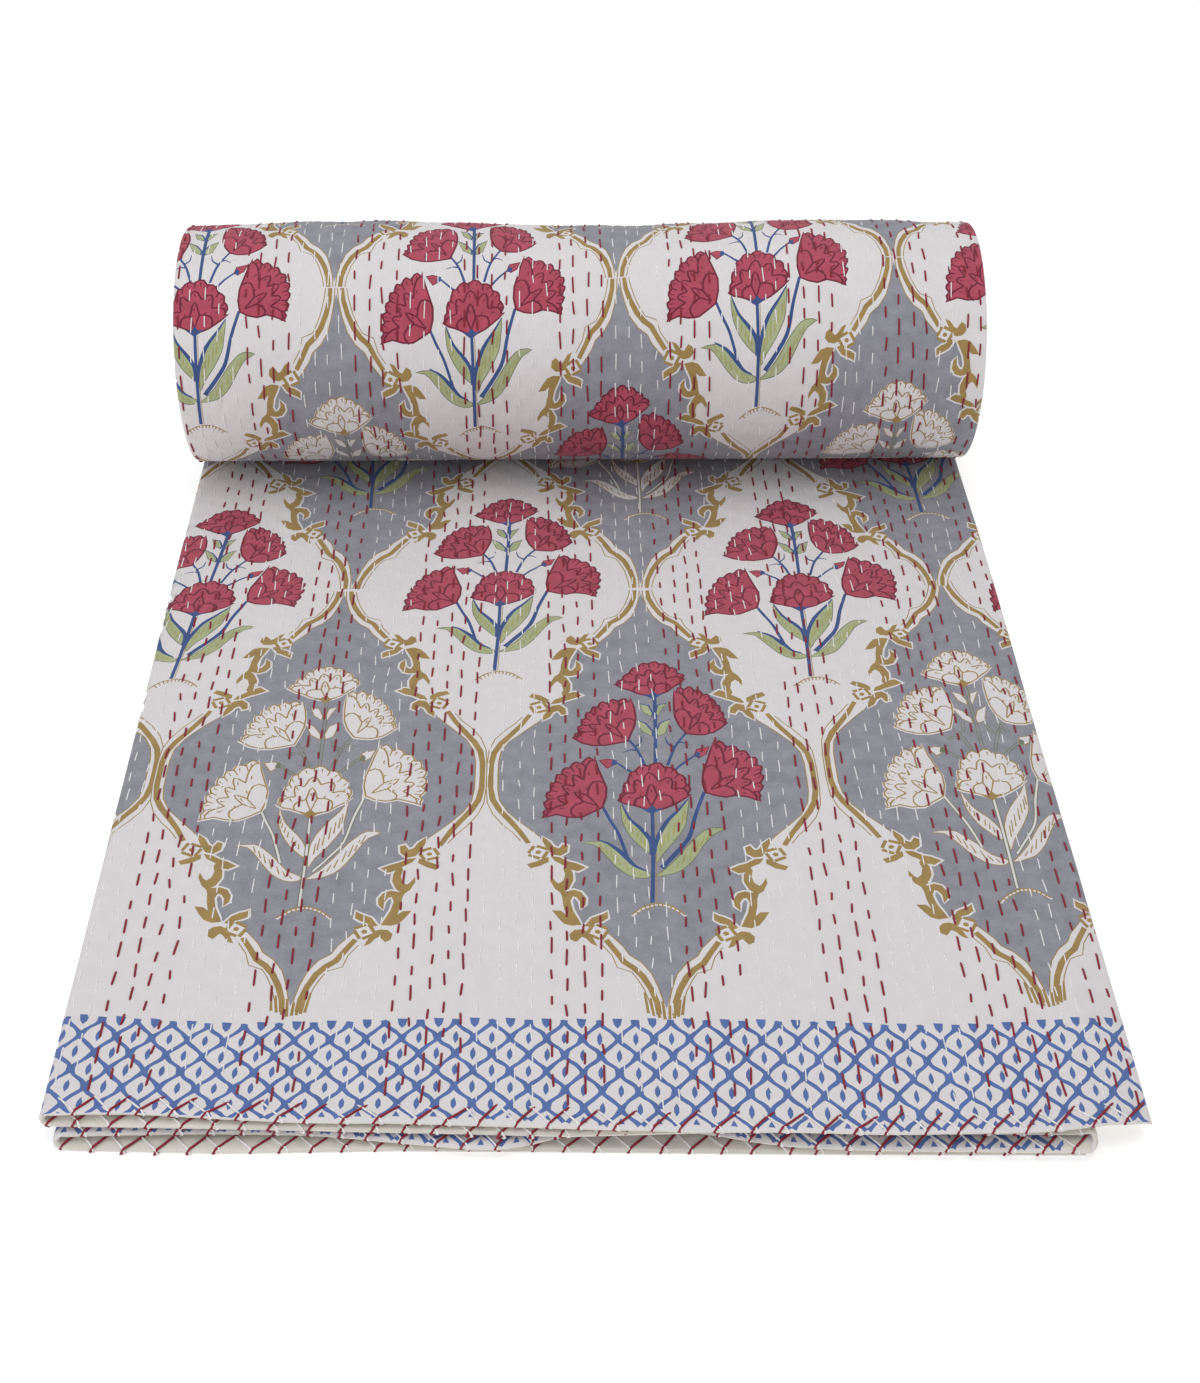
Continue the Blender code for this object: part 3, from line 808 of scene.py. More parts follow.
        def ring(radius, sides):
            angles = np.arange(sides) * 2 * math.pi / sides
            return middle + radius * np.stack([np.cos(angles), np.sin(angles)], 1)

        self.put(mirrored(ring(5.6, 8), *quarter), "ground", to_cloth)
        for k in range(4):
            a = turn + math.pi / 4 + k * math.pi / 2
            out = np.array((math.cos(a), math.sin(a)))
            beside = np.array((-out[1], out[0]))
            way = [middle + out * 4.9 - beside * 3.9, middle + out * 4.5 + beside * 3.5]
            self.put(mirrored(strip(way, 2.2), *quarter), "ochre", to_cloth)
        self.put(mirrored(ring(1.9, 5), *quarter), "ochre", to_cloth)

    def medallion(self, to_cloth, tip_streaks):
        """A grey medallion: its ground and its band."""
        left = [(0.0, 3.0)] + list(LOWER_BAND[2][2:]) + list(WAIST) + list(UPPER_BAND[2])
        left += [(x, MEDALLION - y) for x, y in left[::-1]]
        whole = np.array(left + [(-x, y) for x, y in left[::-1]])
        self.put(whole, "slate", to_cloth)
        self.band(to_cloth, tip_streaks)

    def lattice(self, start, end, low, top, to_cloth):
        """The border's net of upright wavy lines that touch, with a seed in each mesh."""
        rows = 7
        v = np.arange(low, top + 0.01, MESH_HALF_HEIGHT / 6)
        wave = np.cos(math.pi * (TOP_SEEDS - v) / MESH_HALF_HEIGHT)
        for k in range(math.floor(start / MESH_HALF), math.ceil(end / MESH_HALF) + 1):
            x = MESH_HALF * k + (-1) ** k * 4.35 * wave + 0.25 * np.sin(v * 0.9 + k * 2.1)
            wide = 2.35 + 0.35 * np.sin(v * 0.7 + k * 1.3) + 0.9 * np.abs(wave) ** 4
            self.put(strip(np.stack([x, v], 1), wide), "cobalt", to_cloth)
            for row in range(rows):
                middle = TOP_SEEDS - MESH_HALF_HEIGHT * row
                if (row and middle > top - 3) or (k + row) % 2 == 0:
                    continue
                at = MESH_HALF * (k + 0.5) + self.chance.uniform(-0.4, 0.4)
                size = 4.7 + self.chance.uniform(-0.4, 0.4)
                seed = [(0.3, middle - size), (1.45, middle - 1.4), (1.3, middle + 1.6),
                        (-0.3, middle + size), (-1.4, middle + 1.4), (-1.35, middle - 1.6)]
                # The meshes that the border's edges cut have a wedge instead
                if row == 0:
                    seed = [(-2.7, 76), (-1.9, 71.5), (0, 68.7), (1.9, 71.5), (2.7, 76)]
                if row == rows - 1:
                    seed = [(-1.8, 1.6), (-1.0, 3.8), (0, 5.7), (1.0, 3.8), (1.8, 1.6)]
                self.put(np.array(seed) + np.array((at, 0.0)), "cobalt", to_cloth)


class Placed:
    """Takes a drawing to the flat cloth.

    Its 0 goes to the column, across the cloth, and the rise, along it. Only what lies in the window
    (from and to across, from and to along) is printed. Each block was set by hand, so it is off its
    place by its shifts: a height in the drawing, with the shift to the right and upwards there.
    """

    def __init__(self, window, column, rise, shifts=((0.0, 0.0, 0.0),), on_slate=False):
        self.window = window
        self.column = column
        self.rise = rise
        self.shifts = np.array(shifts, float)
        self.on_slate = on_slate

    def moved(self, points):
        """X and height of the points of the drawing, as the block was set."""
        heights, right, up = self.shifts.T
        x, y = points.T
        return self.column + x + np.interp(y, heights, right), self.rise + y + np.interp(y, heights, up)

    def __call__(self, points):
        return np.stack(self.moved(points), 1)


class OnRun(Placed):
    """Placed on the top layer, where the flowers point away from the hem; the column is an X."""

    def __call__(self, points):
        x, high = self.moved(points)
        return np.stack([(RUN_RIGHT - x) * PANEL / RUN_WIDTH, high], 1)


# How far along the cloth the blocks on the roll have their 0, at places from left to right
ROLL_TILT_X = (-400, -270, -76, 125, 320, 400)
ROLL_TILT = (1199, 1201, 1203, 1183, 1173, 1170)
# The cloth is gathered there: the blocks are narrower, and shorter up to this height
ROLL_NARROW = 0.966
ROLL_SHORT = 0.87
SHORT_UP_TO = 290


class OnRoll(Placed):
    """Placed on the outside of the roll, where the flowers point back to the hem; the column is an X."""

    def __call__(self, points):
        x, high = self.moved(points)
        x = self.column + (x - self.column) * ROLL_NARROW
        short = ROLL_SHORT * np.minimum(high, SHORT_UP_TO) + np.maximum(high - SHORT_UP_TO, 0)
        v = np.interp(x, ROLL_TILT_X, ROLL_TILT) - short
        return np.stack([3 * PANEL + (x - ROLL_LEFT) * PANEL / ROLL_WIDTH, v], 1)


# How far the border's print is off its place, every 40 mm from the right edge: away from the hem in its
# lowest and in its highest row, and to the left in both. The lowest row's height, and how far above it
# the highest is.
LOWEST_ROW = 11.4
ROWS_SPAN = 61
BORDER_STEP = 40.0
BORDER_SHIFTS = (
    (-1.9, -2.1, -3.6, -4.9, -3.9, -2.6, -0.2, 0.6, 4.5, 6.5, 7.0, 7.0, 6.5, 7.0, 8.5),
    (0.0, -4.2, -6.9, -5.7, -3.1, -1.6, -0.8, -1.1, 0.0, 1.5, 1.5, 1.0, -0.1, 3.2, 6.0),
    (0.0, 0.0, -1.0, -1.7, -1.4, -1.0, -0.6, -0.3, 0.1, 0.5, 1.3, 1.5, 1.5, 1.8, 2.3),
    (0.5, 0.3, -0.5, -0.9, -1.0, -0.8, 0.0, 0.0, 0.0, 1.1, 1.1, 1.1, 0.0, 0.5, 0.5),
)


class OnBorder(Placed):
    """Placed on the border of the top layer, where the print waves and the hem is askew to it."""

    def __call__(self, points):
        across = self.column + points[:, 0]
        low, top, low_left, top_left = (
            np.interp(across, np.arange(len(shifts)) * BORDER_STEP, shifts) for shifts in BORDER_SHIFTS
        )
        share = np.clip((points[:, 1] - LOWEST_ROW) / ROWS_SPAN, -0.2, 1)
        lies = self.rise + points[:, 1] + low + (top - low) * share
        hem = 1000 * hem_setback(0, (RUN_RIGHT - across) / 1000) * (1 - lies / (1000 * HEM_EASE))
        return np.stack([across + low_left + (top_left - low_left) * share, lies - hem], 1)


# Each block: X and height of its place, whether its flowers are white, the shifts of its band (None for a
# bouquet that stands between the medallions), and the shifts of its flowers
IN_PLACE = ((0, 0, 0),)
LOWER_BAND_UP = ((0, 0, 0), (60, 4, 10), (130, 5, 14))
RUN_BLOCKS = (
    (-363, 80, False, ((0, -2, 0),), ((0, -2, 0),)),
    (-160, 80, True, ((0, -4, -2),), ((0, -6.5, -5),)),
    (39, 80, False, ((0, 0, 0), (128, 0, 0), (273, 0, -5), (339, 0, -2)), ((80, -4.6, 0.7), (320, 6.4, 0.7))),
    (242, 80, True, ((0, 5, 7),), ((0, 3.4, 11),)),
    (-363, 484, True, LOWER_BAND_UP, LOWER_BAND_UP),
    (-160, 484, False, LOWER_BAND_UP, ((80, 6.4, 22.9), (200, 2.8, 5.1))),
    (39, 484, True, LOWER_BAND_UP, ((80, 3.5, 13.5), (200, 4.8, 1.1))),
    (242, 484, False, ((0, 2, 0), (60, 6.5, 2), (130, 8.5, 4)), ((80, 6.1, 12.0), (200, 4.3, -6.6))),
    (-262, 293, False, None, ((80, -8.0, 0.7), (320, 12.2, -20.2))),
    (-62, 293, False, None, ((80, 1.9, 9.2), (320, 11.1, -6.8))),
    (141, 293, False, None, ((80, 5.1, 1.0), (320, 10.9, -10.0))),
    (345, 293, False, None, ((0, 0, 2),)),
)
ROLL_BLOCKS = (
    (-370, -203, False, ((339, -2, 0), (401, 0, 0)), ((0, -1.7, 9.5),)),
    (-172.5, -203, True, ((339, 3.6, -7.6), (401, 1.5, 2)), ((0, 3.5, 0.5),)),
    (25.5, -203, False, ((339, 4, -7), (401, 1.5, 2)), ((0, 4.6, -2.7),)),
    (222.5, -203, True, ((339, -0.6, -4), (401, 0, 2)), ((0, 5.3, -16),)),
    (-370, 203, True, ((0, -0.4, 3),), ((80, 5, 13), (320, -3, 6))),
    (-172.5, 203, False, IN_PLACE, IN_PLACE),
    (25.5, 203, True, IN_PLACE, IN_PLACE),
    (222.5, 203, False, IN_PLACE, IN_PLACE),
    (-270, 0, False, None, ((80, -1.5, 0.5), (320, 5, -6))),
    (-76, 0, False, None, ((0, 0.2, -2),)),
    (125.5, 0, False, None, ((80, -0.7, -4.9), (320, -0.7, 10.3))),
    (322, 0, False, None, IN_PLACE),
    (-270, 406, False, None, IN_PLACE),
    (-76, 406, False, None, IN_PLACE),
    (125.5, 406, False, None, IN_PLACE),
    (322, 406, False, None, IN_PLACE),
)


def drawn_print(cloth):
    """Every printed shape that shows: on the run, on the strips of border, and round the roll."""
    prints = Print(cloth, 7)
    panel = cloth.panel * 1000
    # The windows reach a little past what shows of each panel
    run = (0.0, panel + 12, 0.0, 672.0)
    roll = (3 * panel - 12, 4 * panel, 690.0, 1245.0)
    for window, lies, blocks in ((run, OnRun, RUN_BLOCKS), (roll, OnRoll, ROLL_BLOCKS)):
        for x, rise, white, band, flowers in blocks:
            if band:
                ends_in_border = lies is OnRun and rise == 80
                prints.medallion(lies(window, x, rise, band, True), ends_in_border)
            prints.bouquet(lies(window, x, rise, flowers, band is not None), white)
    first = OnBorder((0.0, panel + 16, 0.0, 92.0), -6.7, 0.0)
    prints.lattice(-5, panel + 16, 0.6, 75.6, first)
    third = Placed((2 * panel - 16, 3 * panel + 16, 0.0, 34.0), 2 * panel, 0.0)
    prints.lattice(19, panel + 16, 0.6, 34.0, third)
    # Cloth without print beside the third layer's right fold
    prints.put([(4.4, 0), (19, 0), (18, 40), (4.4, 40)], "cream", third)
    return prints.shapes


# ---------------------------------------------------------------------------------------------------
# The sheet's mesh


def fold_stations(cloth):
    """Places across the cloth, in millimetres, that follow the round of the three folds."""
    offsets = np.linspace(-FOLD_SPAN * 500, FOLD_SPAN * 500, 7)
    return np.concatenate([fold * cloth.panel * 1000 + offsets for fold in (1, 2, 3)])


def along_stations(cloth):
    """Places along the cloth, in millimetres: close at both hems and closer the tighter the roll is."""
    places = [0.0, 0.6, 1.8, 4.0, 8.0]
    while places[-1] < cloth.length * 1000 - 12:
        v = places[-1]
        places.append(v + (12.5 if v < 620 else 9.5 if v < 1300 or v > 2250 else 11.5))
    end = cloth.length * 1000
    return np.array([v for v in places if v < end - 7] + [end - 4.0, end - 1.8, end])


# Lengths along the cloth, in millimetres. The run hides its lower layers between the first two, the run
# ends by the third, and the outside of the roll by the last.
HIDDEN_FROM, HIDDEN_TO = 40, 655
RUN_END = 700
OUTSIDE_END = 1300


def sheet_grid(cloth, fine):
    """Points of the flat sheet: every half row of stitches where it shows, few where it doesn't."""
    panel = cloth.panel * 1000
    width = cloth.width * 1000
    folds = fold_stations(cloth)
    v_all = along_stations(cloth)
    edge = [0.7, 2.0, width - 2.0, width - 0.7]
    coarse = [layer * panel + panel * k / 6 for layer in range(4) for k in range(1, 6)]
    base = np.array(sorted([0.0, width] + edge + coarse + list(folds)))
    few = np.array(sorted([0.0, width] + coarse[::2] + list(folds[::2]) + [folds[-1]]))
    half = cloth.row * 500 if fine else cloth.row * 2000
    count = int(round(width / half))
    even = np.arange(count + 1) * half
    free = np.abs(even[:, None] - folds[None, :]).min(1) > half * 0.45
    free &= (even > 3) & (even < width - 3)
    even = even[free]
    points = []
    for k, v in enumerate(v_all):
        hidden = HIDDEN_FROM < v < HIDDEN_TO and k % 4
        row = []
        for p in few if v > OUTSIDE_END else base:
            seen_panel = p < panel + 10 or p > 3 * panel - 10
            if hidden and not seen_panel:
                continue
            if RUN_END < v <= OUTSIDE_END and not seen_panel and p not in few:
                continue
            row.append(p)
        if v <= RUN_END and (fine or k % 2 == 0 or v < HIDDEN_FROM):
            row += [p for p in even if p < panel + 16]
        if v <= 34 and fine:
            row += [p for p in even if 2 * panel - 16 < p < 3 * panel + 16]
        if HIDDEN_TO <= v <= OUTSIDE_END:
            row += [p for p in even if p > 3 * panel - 16]
        points += [(p, v) for p in sorted(set(row))]
    return np.array(points)


def off_the_rim(grid, width, end):
    """The grid's points that don't lie on the sheet's edge."""
    p, v = grid.T
    return grid[(p > 0.1) & (p < width - 0.1) & (v > 0.1) & (v < end - 0.1)]


def covered(points, shape):
    """Which of the points lie inside the shape, also where its outline crosses itself."""
    turns = np.zeros(len(points), int)
    after = np.roll(shape, -1, axis=0)
    for (x0, y0), (x1, y1) in zip(shape, after):
        if y0 == y1:
            continue
        beside = (x1 - x0) * (points[:, 1] - y0) - (points[:, 0] - x0) * (y1 - y0)
        upward = (y0 <= points[:, 1]) & (y1 > points[:, 1]) & (beside > 0)
        downward = (y0 > points[:, 1]) & (y1 <= points[:, 1]) & (beside < 0)
        turns += upward.astype(int) - downward.astype(int)
    return turns != 0


def uppermost_shape(middles, shapes):
    """For each triangle's middle, the number of the last shape that covers it, from 1, or 0."""
    found = np.zeros(len(middles), int)
    order = np.argsort(middles[:, 0])
    sorted_p = middles[order, 0]
    for number, shape in enumerate(shapes, 1):
        low, high = shape.min(0), shape.max(0)
        first, last = np.searchsorted(sorted_p, (low[0], high[0]))
        near = order[first:last]
        near = near[(middles[near, 1] >= low[1]) & (middles[near, 1] <= high[1])]
        if len(near):
            found[near[covered(middles[near], shape)]] = number
    return found


def flat_triangles(points, edges, nearest):
    """A flat mesh of triangles that keeps the edges: its points and its triangles, all turned alike."""
    coordinates = [Vector((float(p), float(v))) for p, v in points]
    found, _, triangles, _, _, _ = delaunay_2d_cdt(coordinates, edges, [], 0, nearest, False)
    flat = np.array([(point.x, point.y) for point in found])
    corners = np.array(triangles)
    a, b, c = (flat[corners[:, k]] for k in range(3))
    turned = (b[:, 0] - a[:, 0]) * (c[:, 1] - a[:, 1]) - (b[:, 1] - a[:, 1]) * (c[:, 0] - a[:, 0])
    corners[turned < 0] = corners[turned < 0][:, ::-1]
    return flat, corners


def colour_edges(corners, kinds):
    """The edges between triangles of different colour, and those at the outside."""
    pairs = np.concatenate([corners[:, (0, 1)], corners[:, (1, 2)], corners[:, (2, 0)]])
    pairs.sort(axis=1)
    beside = np.tile(kinds, 3)
    order = np.lexsort((pairs[:, 1], pairs[:, 0]))
    pairs, beside = pairs[order], beside[order]
    same = (pairs[1:] == pairs[:-1]).all(1)
    twice = np.concatenate([same, [False]]) | np.concatenate([[False], same])
    differ = np.concatenate([same & (beside[1:] != beside[:-1]), [False]])
    return pairs[differ | ~twice]


def triangulated(outline, shapes, kinds, grid):
    """A flat mesh inside the outline: its points, its triangles and the colour of each.

    It is made twice: once with every edge of every shape, and again with those alone at which the
    colour changes, which leaves out what lies under another shape.
    """
    points = []
    edges = []
    for ring in [outline] + shapes:
        start = len(points)
        points += list(ring)
        count = len(ring)
        edges += [(start + k, start + (k + 1) % count) for k in range(count)]
    flat, corners = flat_triangles(points + list(grid), edges, 1e-3)
    kinds = np.concatenate([[0], np.array(kinds, int)])
    if shapes:
        shown = kinds[uppermost_shape(flat[corners].mean(1), shapes)]
        borders = colour_edges(corners, shown)
        kept, renamed = np.unique(borders, return_inverse=True)
        renamed = renamed.reshape(-1, 2)
        again = list(flat[kept]) + list(grid)
        flat, corners = flat_triangles(again, [tuple(int(k) for k in edge) for edge in renamed], 0.04)
    return flat, corners, kinds[uppermost_shape(flat[corners].mean(1), shapes)]


def rim_order(flat, corners, width, end):
    """The points on the sheet's edge, in order round it."""
    used = np.unique(corners)
    p, v = flat[used, 0], flat[used, 1]
    near = 2e-3
    sides = (
        used[v < near][np.argsort(p[v < near])],
        used[p > width - near][np.argsort(v[p > width - near])],
        used[v > end - near][np.argsort(-p[v > end - near])],
        used[p < near][np.argsort(-v[p < near])],
    )
    order = []
    for side in sides:
        for index in side:
            if index not in order[-2:] and (not order or index != order[0]):
                order.append(int(index))
    return order


# How much dye lies on the cloth: none on bare cotton, 1 where it isn't named
DYE = {"ground": 0.0, "cream": 0.0, "sage": 0.7, "ochre": 0.8, "cobalt": 0.9}


def sheet_mesh(cloth, shapes, colours):
    """The whole quilt as one closed mesh: the printed side, the back, and the rim that joins them."""
    width = cloth.width * 1000
    end = cloth.length * 1000
    grid = sheet_grid(cloth, True)
    v_rim = along_stations(cloth)
    p_near, p_far = (grid[grid[:, 1] == v][:, 0] for v in (0.0, grid[:, 1].max()))
    outline = [(p, 0.0) for p in p_near] + [(width, v) for v in v_rim[1:-1]]
    outline += [(p, end) for p in p_far[::-1]] + [(0.0, v) for v in v_rim[1:-1][::-1]]
    inks = ["ground"] + sorted({ink for _, ink in shapes} - {"ground"})
    kinds = [inks.index(ink) for _, ink in shapes]
    inner = off_the_rim(grid, width, end)
    flat, corners, shown = triangulated(outline, [points for points, _ in shapes], kinds, inner)
    order = rim_order(flat, corners, width, end)
    rough = off_the_rim(sheet_grid(cloth, False), width, end)
    back_flat, back_corners, _ = triangulated(flat[order], [], [], rough)
    back_order = [index + len(flat) for index in rim_order(back_flat, back_corners, width, end)]
    if len(order) != len(back_order):
        raise RuntimeError("the two sides of the sheet have different edges")
    rim = []
    for a, b, c, d in zip(order, np.roll(order, -1), np.roll(back_order, -1), back_order):
        rim += [(a, b, c), (a, c, d)]
    triangles = np.concatenate([corners[:, ::-1], back_corners + len(flat), np.array(rim)])
    sides = ((flat / 1000, 1), (back_flat / 1000, -1))
    points = np.concatenate([cloth.place(*side.T, face) for side, face in sides])
    normals = np.concatenate([cloth.normals(*side.T, face) for side, face in sides])
    used, renamed = np.unique(triangles, return_inverse=True)
    triangles = renamed.reshape(-1, 3)
    mesh = bpy.data.meshes.new("quilt_cloth")
    mesh.vertices.add(len(used))
    mesh.vertices.foreach_set("co", points[used].ravel())
    mesh.loops.add(triangles.size)
    mesh.loops.foreach_set("vertex_index", triangles.ravel())
    mesh.polygons.add(len(triangles))
    mesh.polygons.foreach_set("loop_start", np.arange(0, triangles.size, 3))
    table = np.array([(*getattr(colours, ink), DYE.get(ink, 1.0)) for ink in inks + ["cream"]])
    bare = len(triangles) - len(corners)
    ink_colour = np.repeat(np.concatenate([table[shown], np.tile(table[-1], (bare, 1))]), 3, axis=0)
    attribute = mesh.attributes.new("ink", "FLOAT_COLOR", "CORNER")
    attribute.data.foreach_set("color", ink_colour.ravel())
    places = np.concatenate([flat, back_flat])[used] / 1000
    mesh.uv_layers.new(name="cloth").data.foreach_set("uv", places[triangles.ravel()].ravel())
    backing = np.concatenate([np.zeros(len(corners), int), np.ones(bare, int)])
    mesh.polygons.foreach_set("material_index", backing)
    mesh.update(calc_edges=True)
    if mesh.validate():
        raise RuntimeError("the cloth's mesh isn't sound")
    mesh.shade_smooth()
    mesh.normals_split_custom_set_from_vertices(normals[used].tolist())
    return mesh


# ---------------------------------------------------------------------------------------------------
# Materials


def node(tree, kind, settings=None, links=None):
    """Adds a node, sets its properties and inputs, and links other nodes' outputs to its inputs."""
    new = tree.nodes.new(kind)
    for name, value in (settings or {}).items():
        if isinstance(name, int) or name in new.inputs:
            new.inputs[name].default_value = value
        else:
            setattr(new, name, value)
    for name, source in (links or {}).items():
        tree.links.new(source, new.inputs[name])
    return new


def new_material(name, settings):
    """A new material with a shader, which gets the settings, and an output."""
    material = bpy.data.materials.new(name)
    material.use_nodes = True
    tree = material.node_tree
    tree.nodes.clear()
    shader = node(tree, "ShaderNodeBsdfPrincipled", settings)
    node(tree, "ShaderNodeOutputMaterial", links={"Surface": shader.outputs[0]})
    return material, tree, shader


def block_printed_cotton(cloth, printed):
    """Cambric, block-printed by hand and quilted.

    The dye sits unevenly in the cloth, the weave shows as a fine grain, and the running stitches
    gather it into small puffs between the rows.
    """
    name = "block_printed_cotton" if printed else "plain_cotton_backing"
    material, tree, shader = new_material(name, {
        "Roughness": 0.88, "Sheen Weight": 0.12, "Sheen Roughness": 0.6, "Specular IOR Level": 0.25,
    })
    across_along = node(tree, "ShaderNodeUVMap", {"uv_map": "cloth"})
    part = node(tree, "ShaderNodeSeparateXYZ", links={0: across_along.outputs[0]})
    ink = node(tree, "ShaderNodeAttribute", {"attribute_name": "ink"})
    # Dye that is thinner in patches of about 12 mm, and the grain of the yarn, about 1.6 mm
    patches = node(
        tree, "ShaderNodeTexNoise", {"Scale": 85.0, "Detail": 3.0, "Roughness": 0.6},
        {"Vector": across_along.outputs[0]},
    )
    grain = node(
        tree, "ShaderNodeTexNoise", {"Scale": 620.0, "Detail": 2.0, "Roughness": 0.7},
        {"Vector": across_along.outputs[0]},
    )
    both = node(tree, "ShaderNodeMath", {"operation": "MULTIPLY_ADD", 1: 0.45},
                {0: grain.outputs[0], 2: patches.outputs[0]})
    spread = node(
        tree, "ShaderNodeMapRange", {"From Min": 0.42, "From Max": 1.02, "To Min": 0.80, "To Max": 1.20},
        {"Value": both.outputs[0]},
    )
    calm = node(
        tree, "ShaderNodeMapRange", {"From Min": 0.42, "From Max": 1.02, "To Min": 0.965, "To Max": 1.03},
        {"Value": both.outputs[0]},
    )
    strength = node(
        tree, "ShaderNodeMix", {"data_type": "FLOAT"},
        {0: ink.outputs["Alpha"], 2: calm.outputs[0], 3: spread.outputs[0]},
    )
    colour = node(
        tree, "ShaderNodeVectorMath", {"operation": "SCALE"},
        {0: ink.outputs["Color"], "Scale": strength.outputs[0]},
    )
    tree.links.new(colour.outputs[0], shader.inputs["Base Color"])
    # Puffs: the cloth rises between the rows, 9.5 mm apart, and between the stitches, 19 mm apart
    row = node(tree, "ShaderNodeMath", {"operation": "MULTIPLY", 1: 1 / cloth.row}, {0: part.outputs[0]})
    number = node(tree, "ShaderNodeMath", {"operation": "FLOOR"}, {0: row.outputs[0]})
    phase = node(tree, "ShaderNodeMath", {"operation": "MULTIPLY", 1: ROW_OFFSET}, {0: number.outputs[0]})
    step = node(tree, "ShaderNodeMath", {"operation": "MULTIPLY_ADD", 1: 1 / 0.019},
                {0: part.outputs[1], 2: phase.outputs[0]})
    whole_turn = {"operation": "MULTIPLY", 1: 2 * math.pi}
    round_along = node(tree, "ShaderNodeMath", whole_turn, {0: step.outputs[0]})
    along = node(tree, "ShaderNodeMath", {"operation": "COSINE"}, {0: round_along.outputs[0]})
    round_across = node(tree, "ShaderNodeMath", whole_turn, {0: row.outputs[0]})
    across = node(tree, "ShaderNodeMath", {"operation": "COSINE"}, {0: round_across.outputs[0]})
    on_row = node(
        tree, "ShaderNodeMapRange", {"From Min": 1.0, "From Max": -1.0, "To Min": 0.0, "To Max": 1.0},
        {"Value": across.outputs[0]},
    )
    dip = node(tree, "ShaderNodeMath", {"operation": "MULTIPLY"}, {0: on_row.outputs[0], 1: along.outputs[0]})
    rumple = node(
        tree, "ShaderNodeTexNoise", {"Scale": 130.0, "Detail": 2.5, "Distortion": 0.4},
        {"Vector": across_along.outputs[0]},
    )
    raised = node(tree, "ShaderNodeMath", {"operation": "MULTIPLY_ADD", 1: 0.28},
                  {0: dip.outputs[0], 2: rumple.outputs[0]})
    puffs = node(
        tree, "ShaderNodeBump", {"Strength": 0.55, "Distance": 0.0011}, {"Height": raised.outputs[0]},
    )
    # The weave's threads lie about 0.45 mm apart: drawn at 0.8 mm, the finest that shows
    warp = node(
        tree, "ShaderNodeTexWave", {"bands_direction": "X", "Scale": 390.0, "Distortion": 1.2},
        {"Vector": across_along.outputs[0]},
    )
    weft = node(
        tree, "ShaderNodeTexWave", {"bands_direction": "Y", "Scale": 390.0, "Distortion": 1.2},
        {"Vector": across_along.outputs[0]},
    )
    weave = node(tree, "ShaderNodeMath", {"operation": "MULTIPLY"}, {0: warp.outputs[1], 1: weft.outputs[1]})
    cloth_bump = node(
        tree, "ShaderNodeBump", {"Strength": 0.35, "Distance": 0.00022},
        {"Height": weave.outputs[0], "Normal": puffs.outputs[0]},
    )
    tree.links.new(cloth_bump.outputs[0], shader.inputs["Normal"])
    return material


def quilting_thread(name, colour):
    """Twisted cotton thread: matt, with the ply as a fine uneven grain."""
    material, tree, shader = new_material(name, {"Roughness": 0.75, "Sheen Weight": 0.1})
    place = node(tree, "ShaderNodeTexCoord")
    ply = node(
        tree, "ShaderNodeTexNoise", {"Scale": 900.0, "Detail": 2.0}, {"Vector": place.outputs["Object"]},
    )
    share = node(
        tree, "ShaderNodeMapRange", {"From Min": 0.3, "From Max": 0.7, "To Min": 0.78, "To Max": 1.15},
        {"Value": ply.outputs[0]},
    )
    shade = node(
        tree, "ShaderNodeVectorMath", {"operation": "SCALE", 0: tuple(colour)}, {"Scale": share.outputs[0]},
    )
    tree.links.new(shade.outputs[0], shader.inputs["Base Color"])
    raised = node(tree, "ShaderNodeBump", {"Strength": 0.3, "Distance": 0.0002}, {"Height": ply.outputs[0]})
    tree.links.new(raised.outputs[0], shader.inputs["Normal"])
    return material


def studio_paper():
    """Matt white paper with a very faint unevenness."""
    material, tree, shader = new_material("studio_paper", {
        "Roughness": 1.0, "Specular IOR Level": 0.0, "Emission Color": (1.0, 1.0, 1.0, 1.0),
        "Emission Strength": 0.36,
    })
    place = node(tree, "ShaderNodeTexCoord")
    cloud = node(
        tree, "ShaderNodeTexNoise", {"Scale": 3.0, "Detail": 2.0}, {"Vector": place.outputs["Object"]},
    )
    share = node(
        tree, "ShaderNodeMapRange", {"From Min": 0.3, "From Max": 0.7, "To Min": 0.93, "To Max": 0.95},
        {"Value": cloud.outputs[0]},
    )
    tree.links.new(share.outputs[0], shader.inputs["Base Color"])
    return material


# ---------------------------------------------------------------------------------------------------
# Stitches

# X of the rows that are sewn in maroon, in millimetres, on the run and on the roll; the others are pale
MAROON_RUN = ((-268, -232), (-187, -151), (-111, -70), (-29, 6), (51, 85), (127, 161), (198, 245),
              (266, 290))
MAROON_ROLL = ((-290, -275), (-239, -203), (-165, -127), (-89, -50), (-17, 22), (60, 100), (142, 177),
               (211, 246), (266, 290))
# Panels with stitches that show: number, where they begin and end along the cloth, the maroon rows, X of
# the edge that the rows are counted from and the distance to the next row
STITCHED = (
    (0, 0.011, 0.662, MAROON_RUN, RUN_RIGHT, -RUN_WIDTH / ROWS_A_PANEL),
    (3, 0.735, 1.205, MAROON_ROLL, ROLL_LEFT, ROLL_WIDTH / ROWS_A_PANEL),
)
# A running stitch dips in at both ends and lies on the cloth between: share of its length, and how many
# half thicknesses of thread it stands off
RUNNING = ((0.0, -0.7), (0.13, 0.45), (0.87, 0.45), (1.0, -0.7))
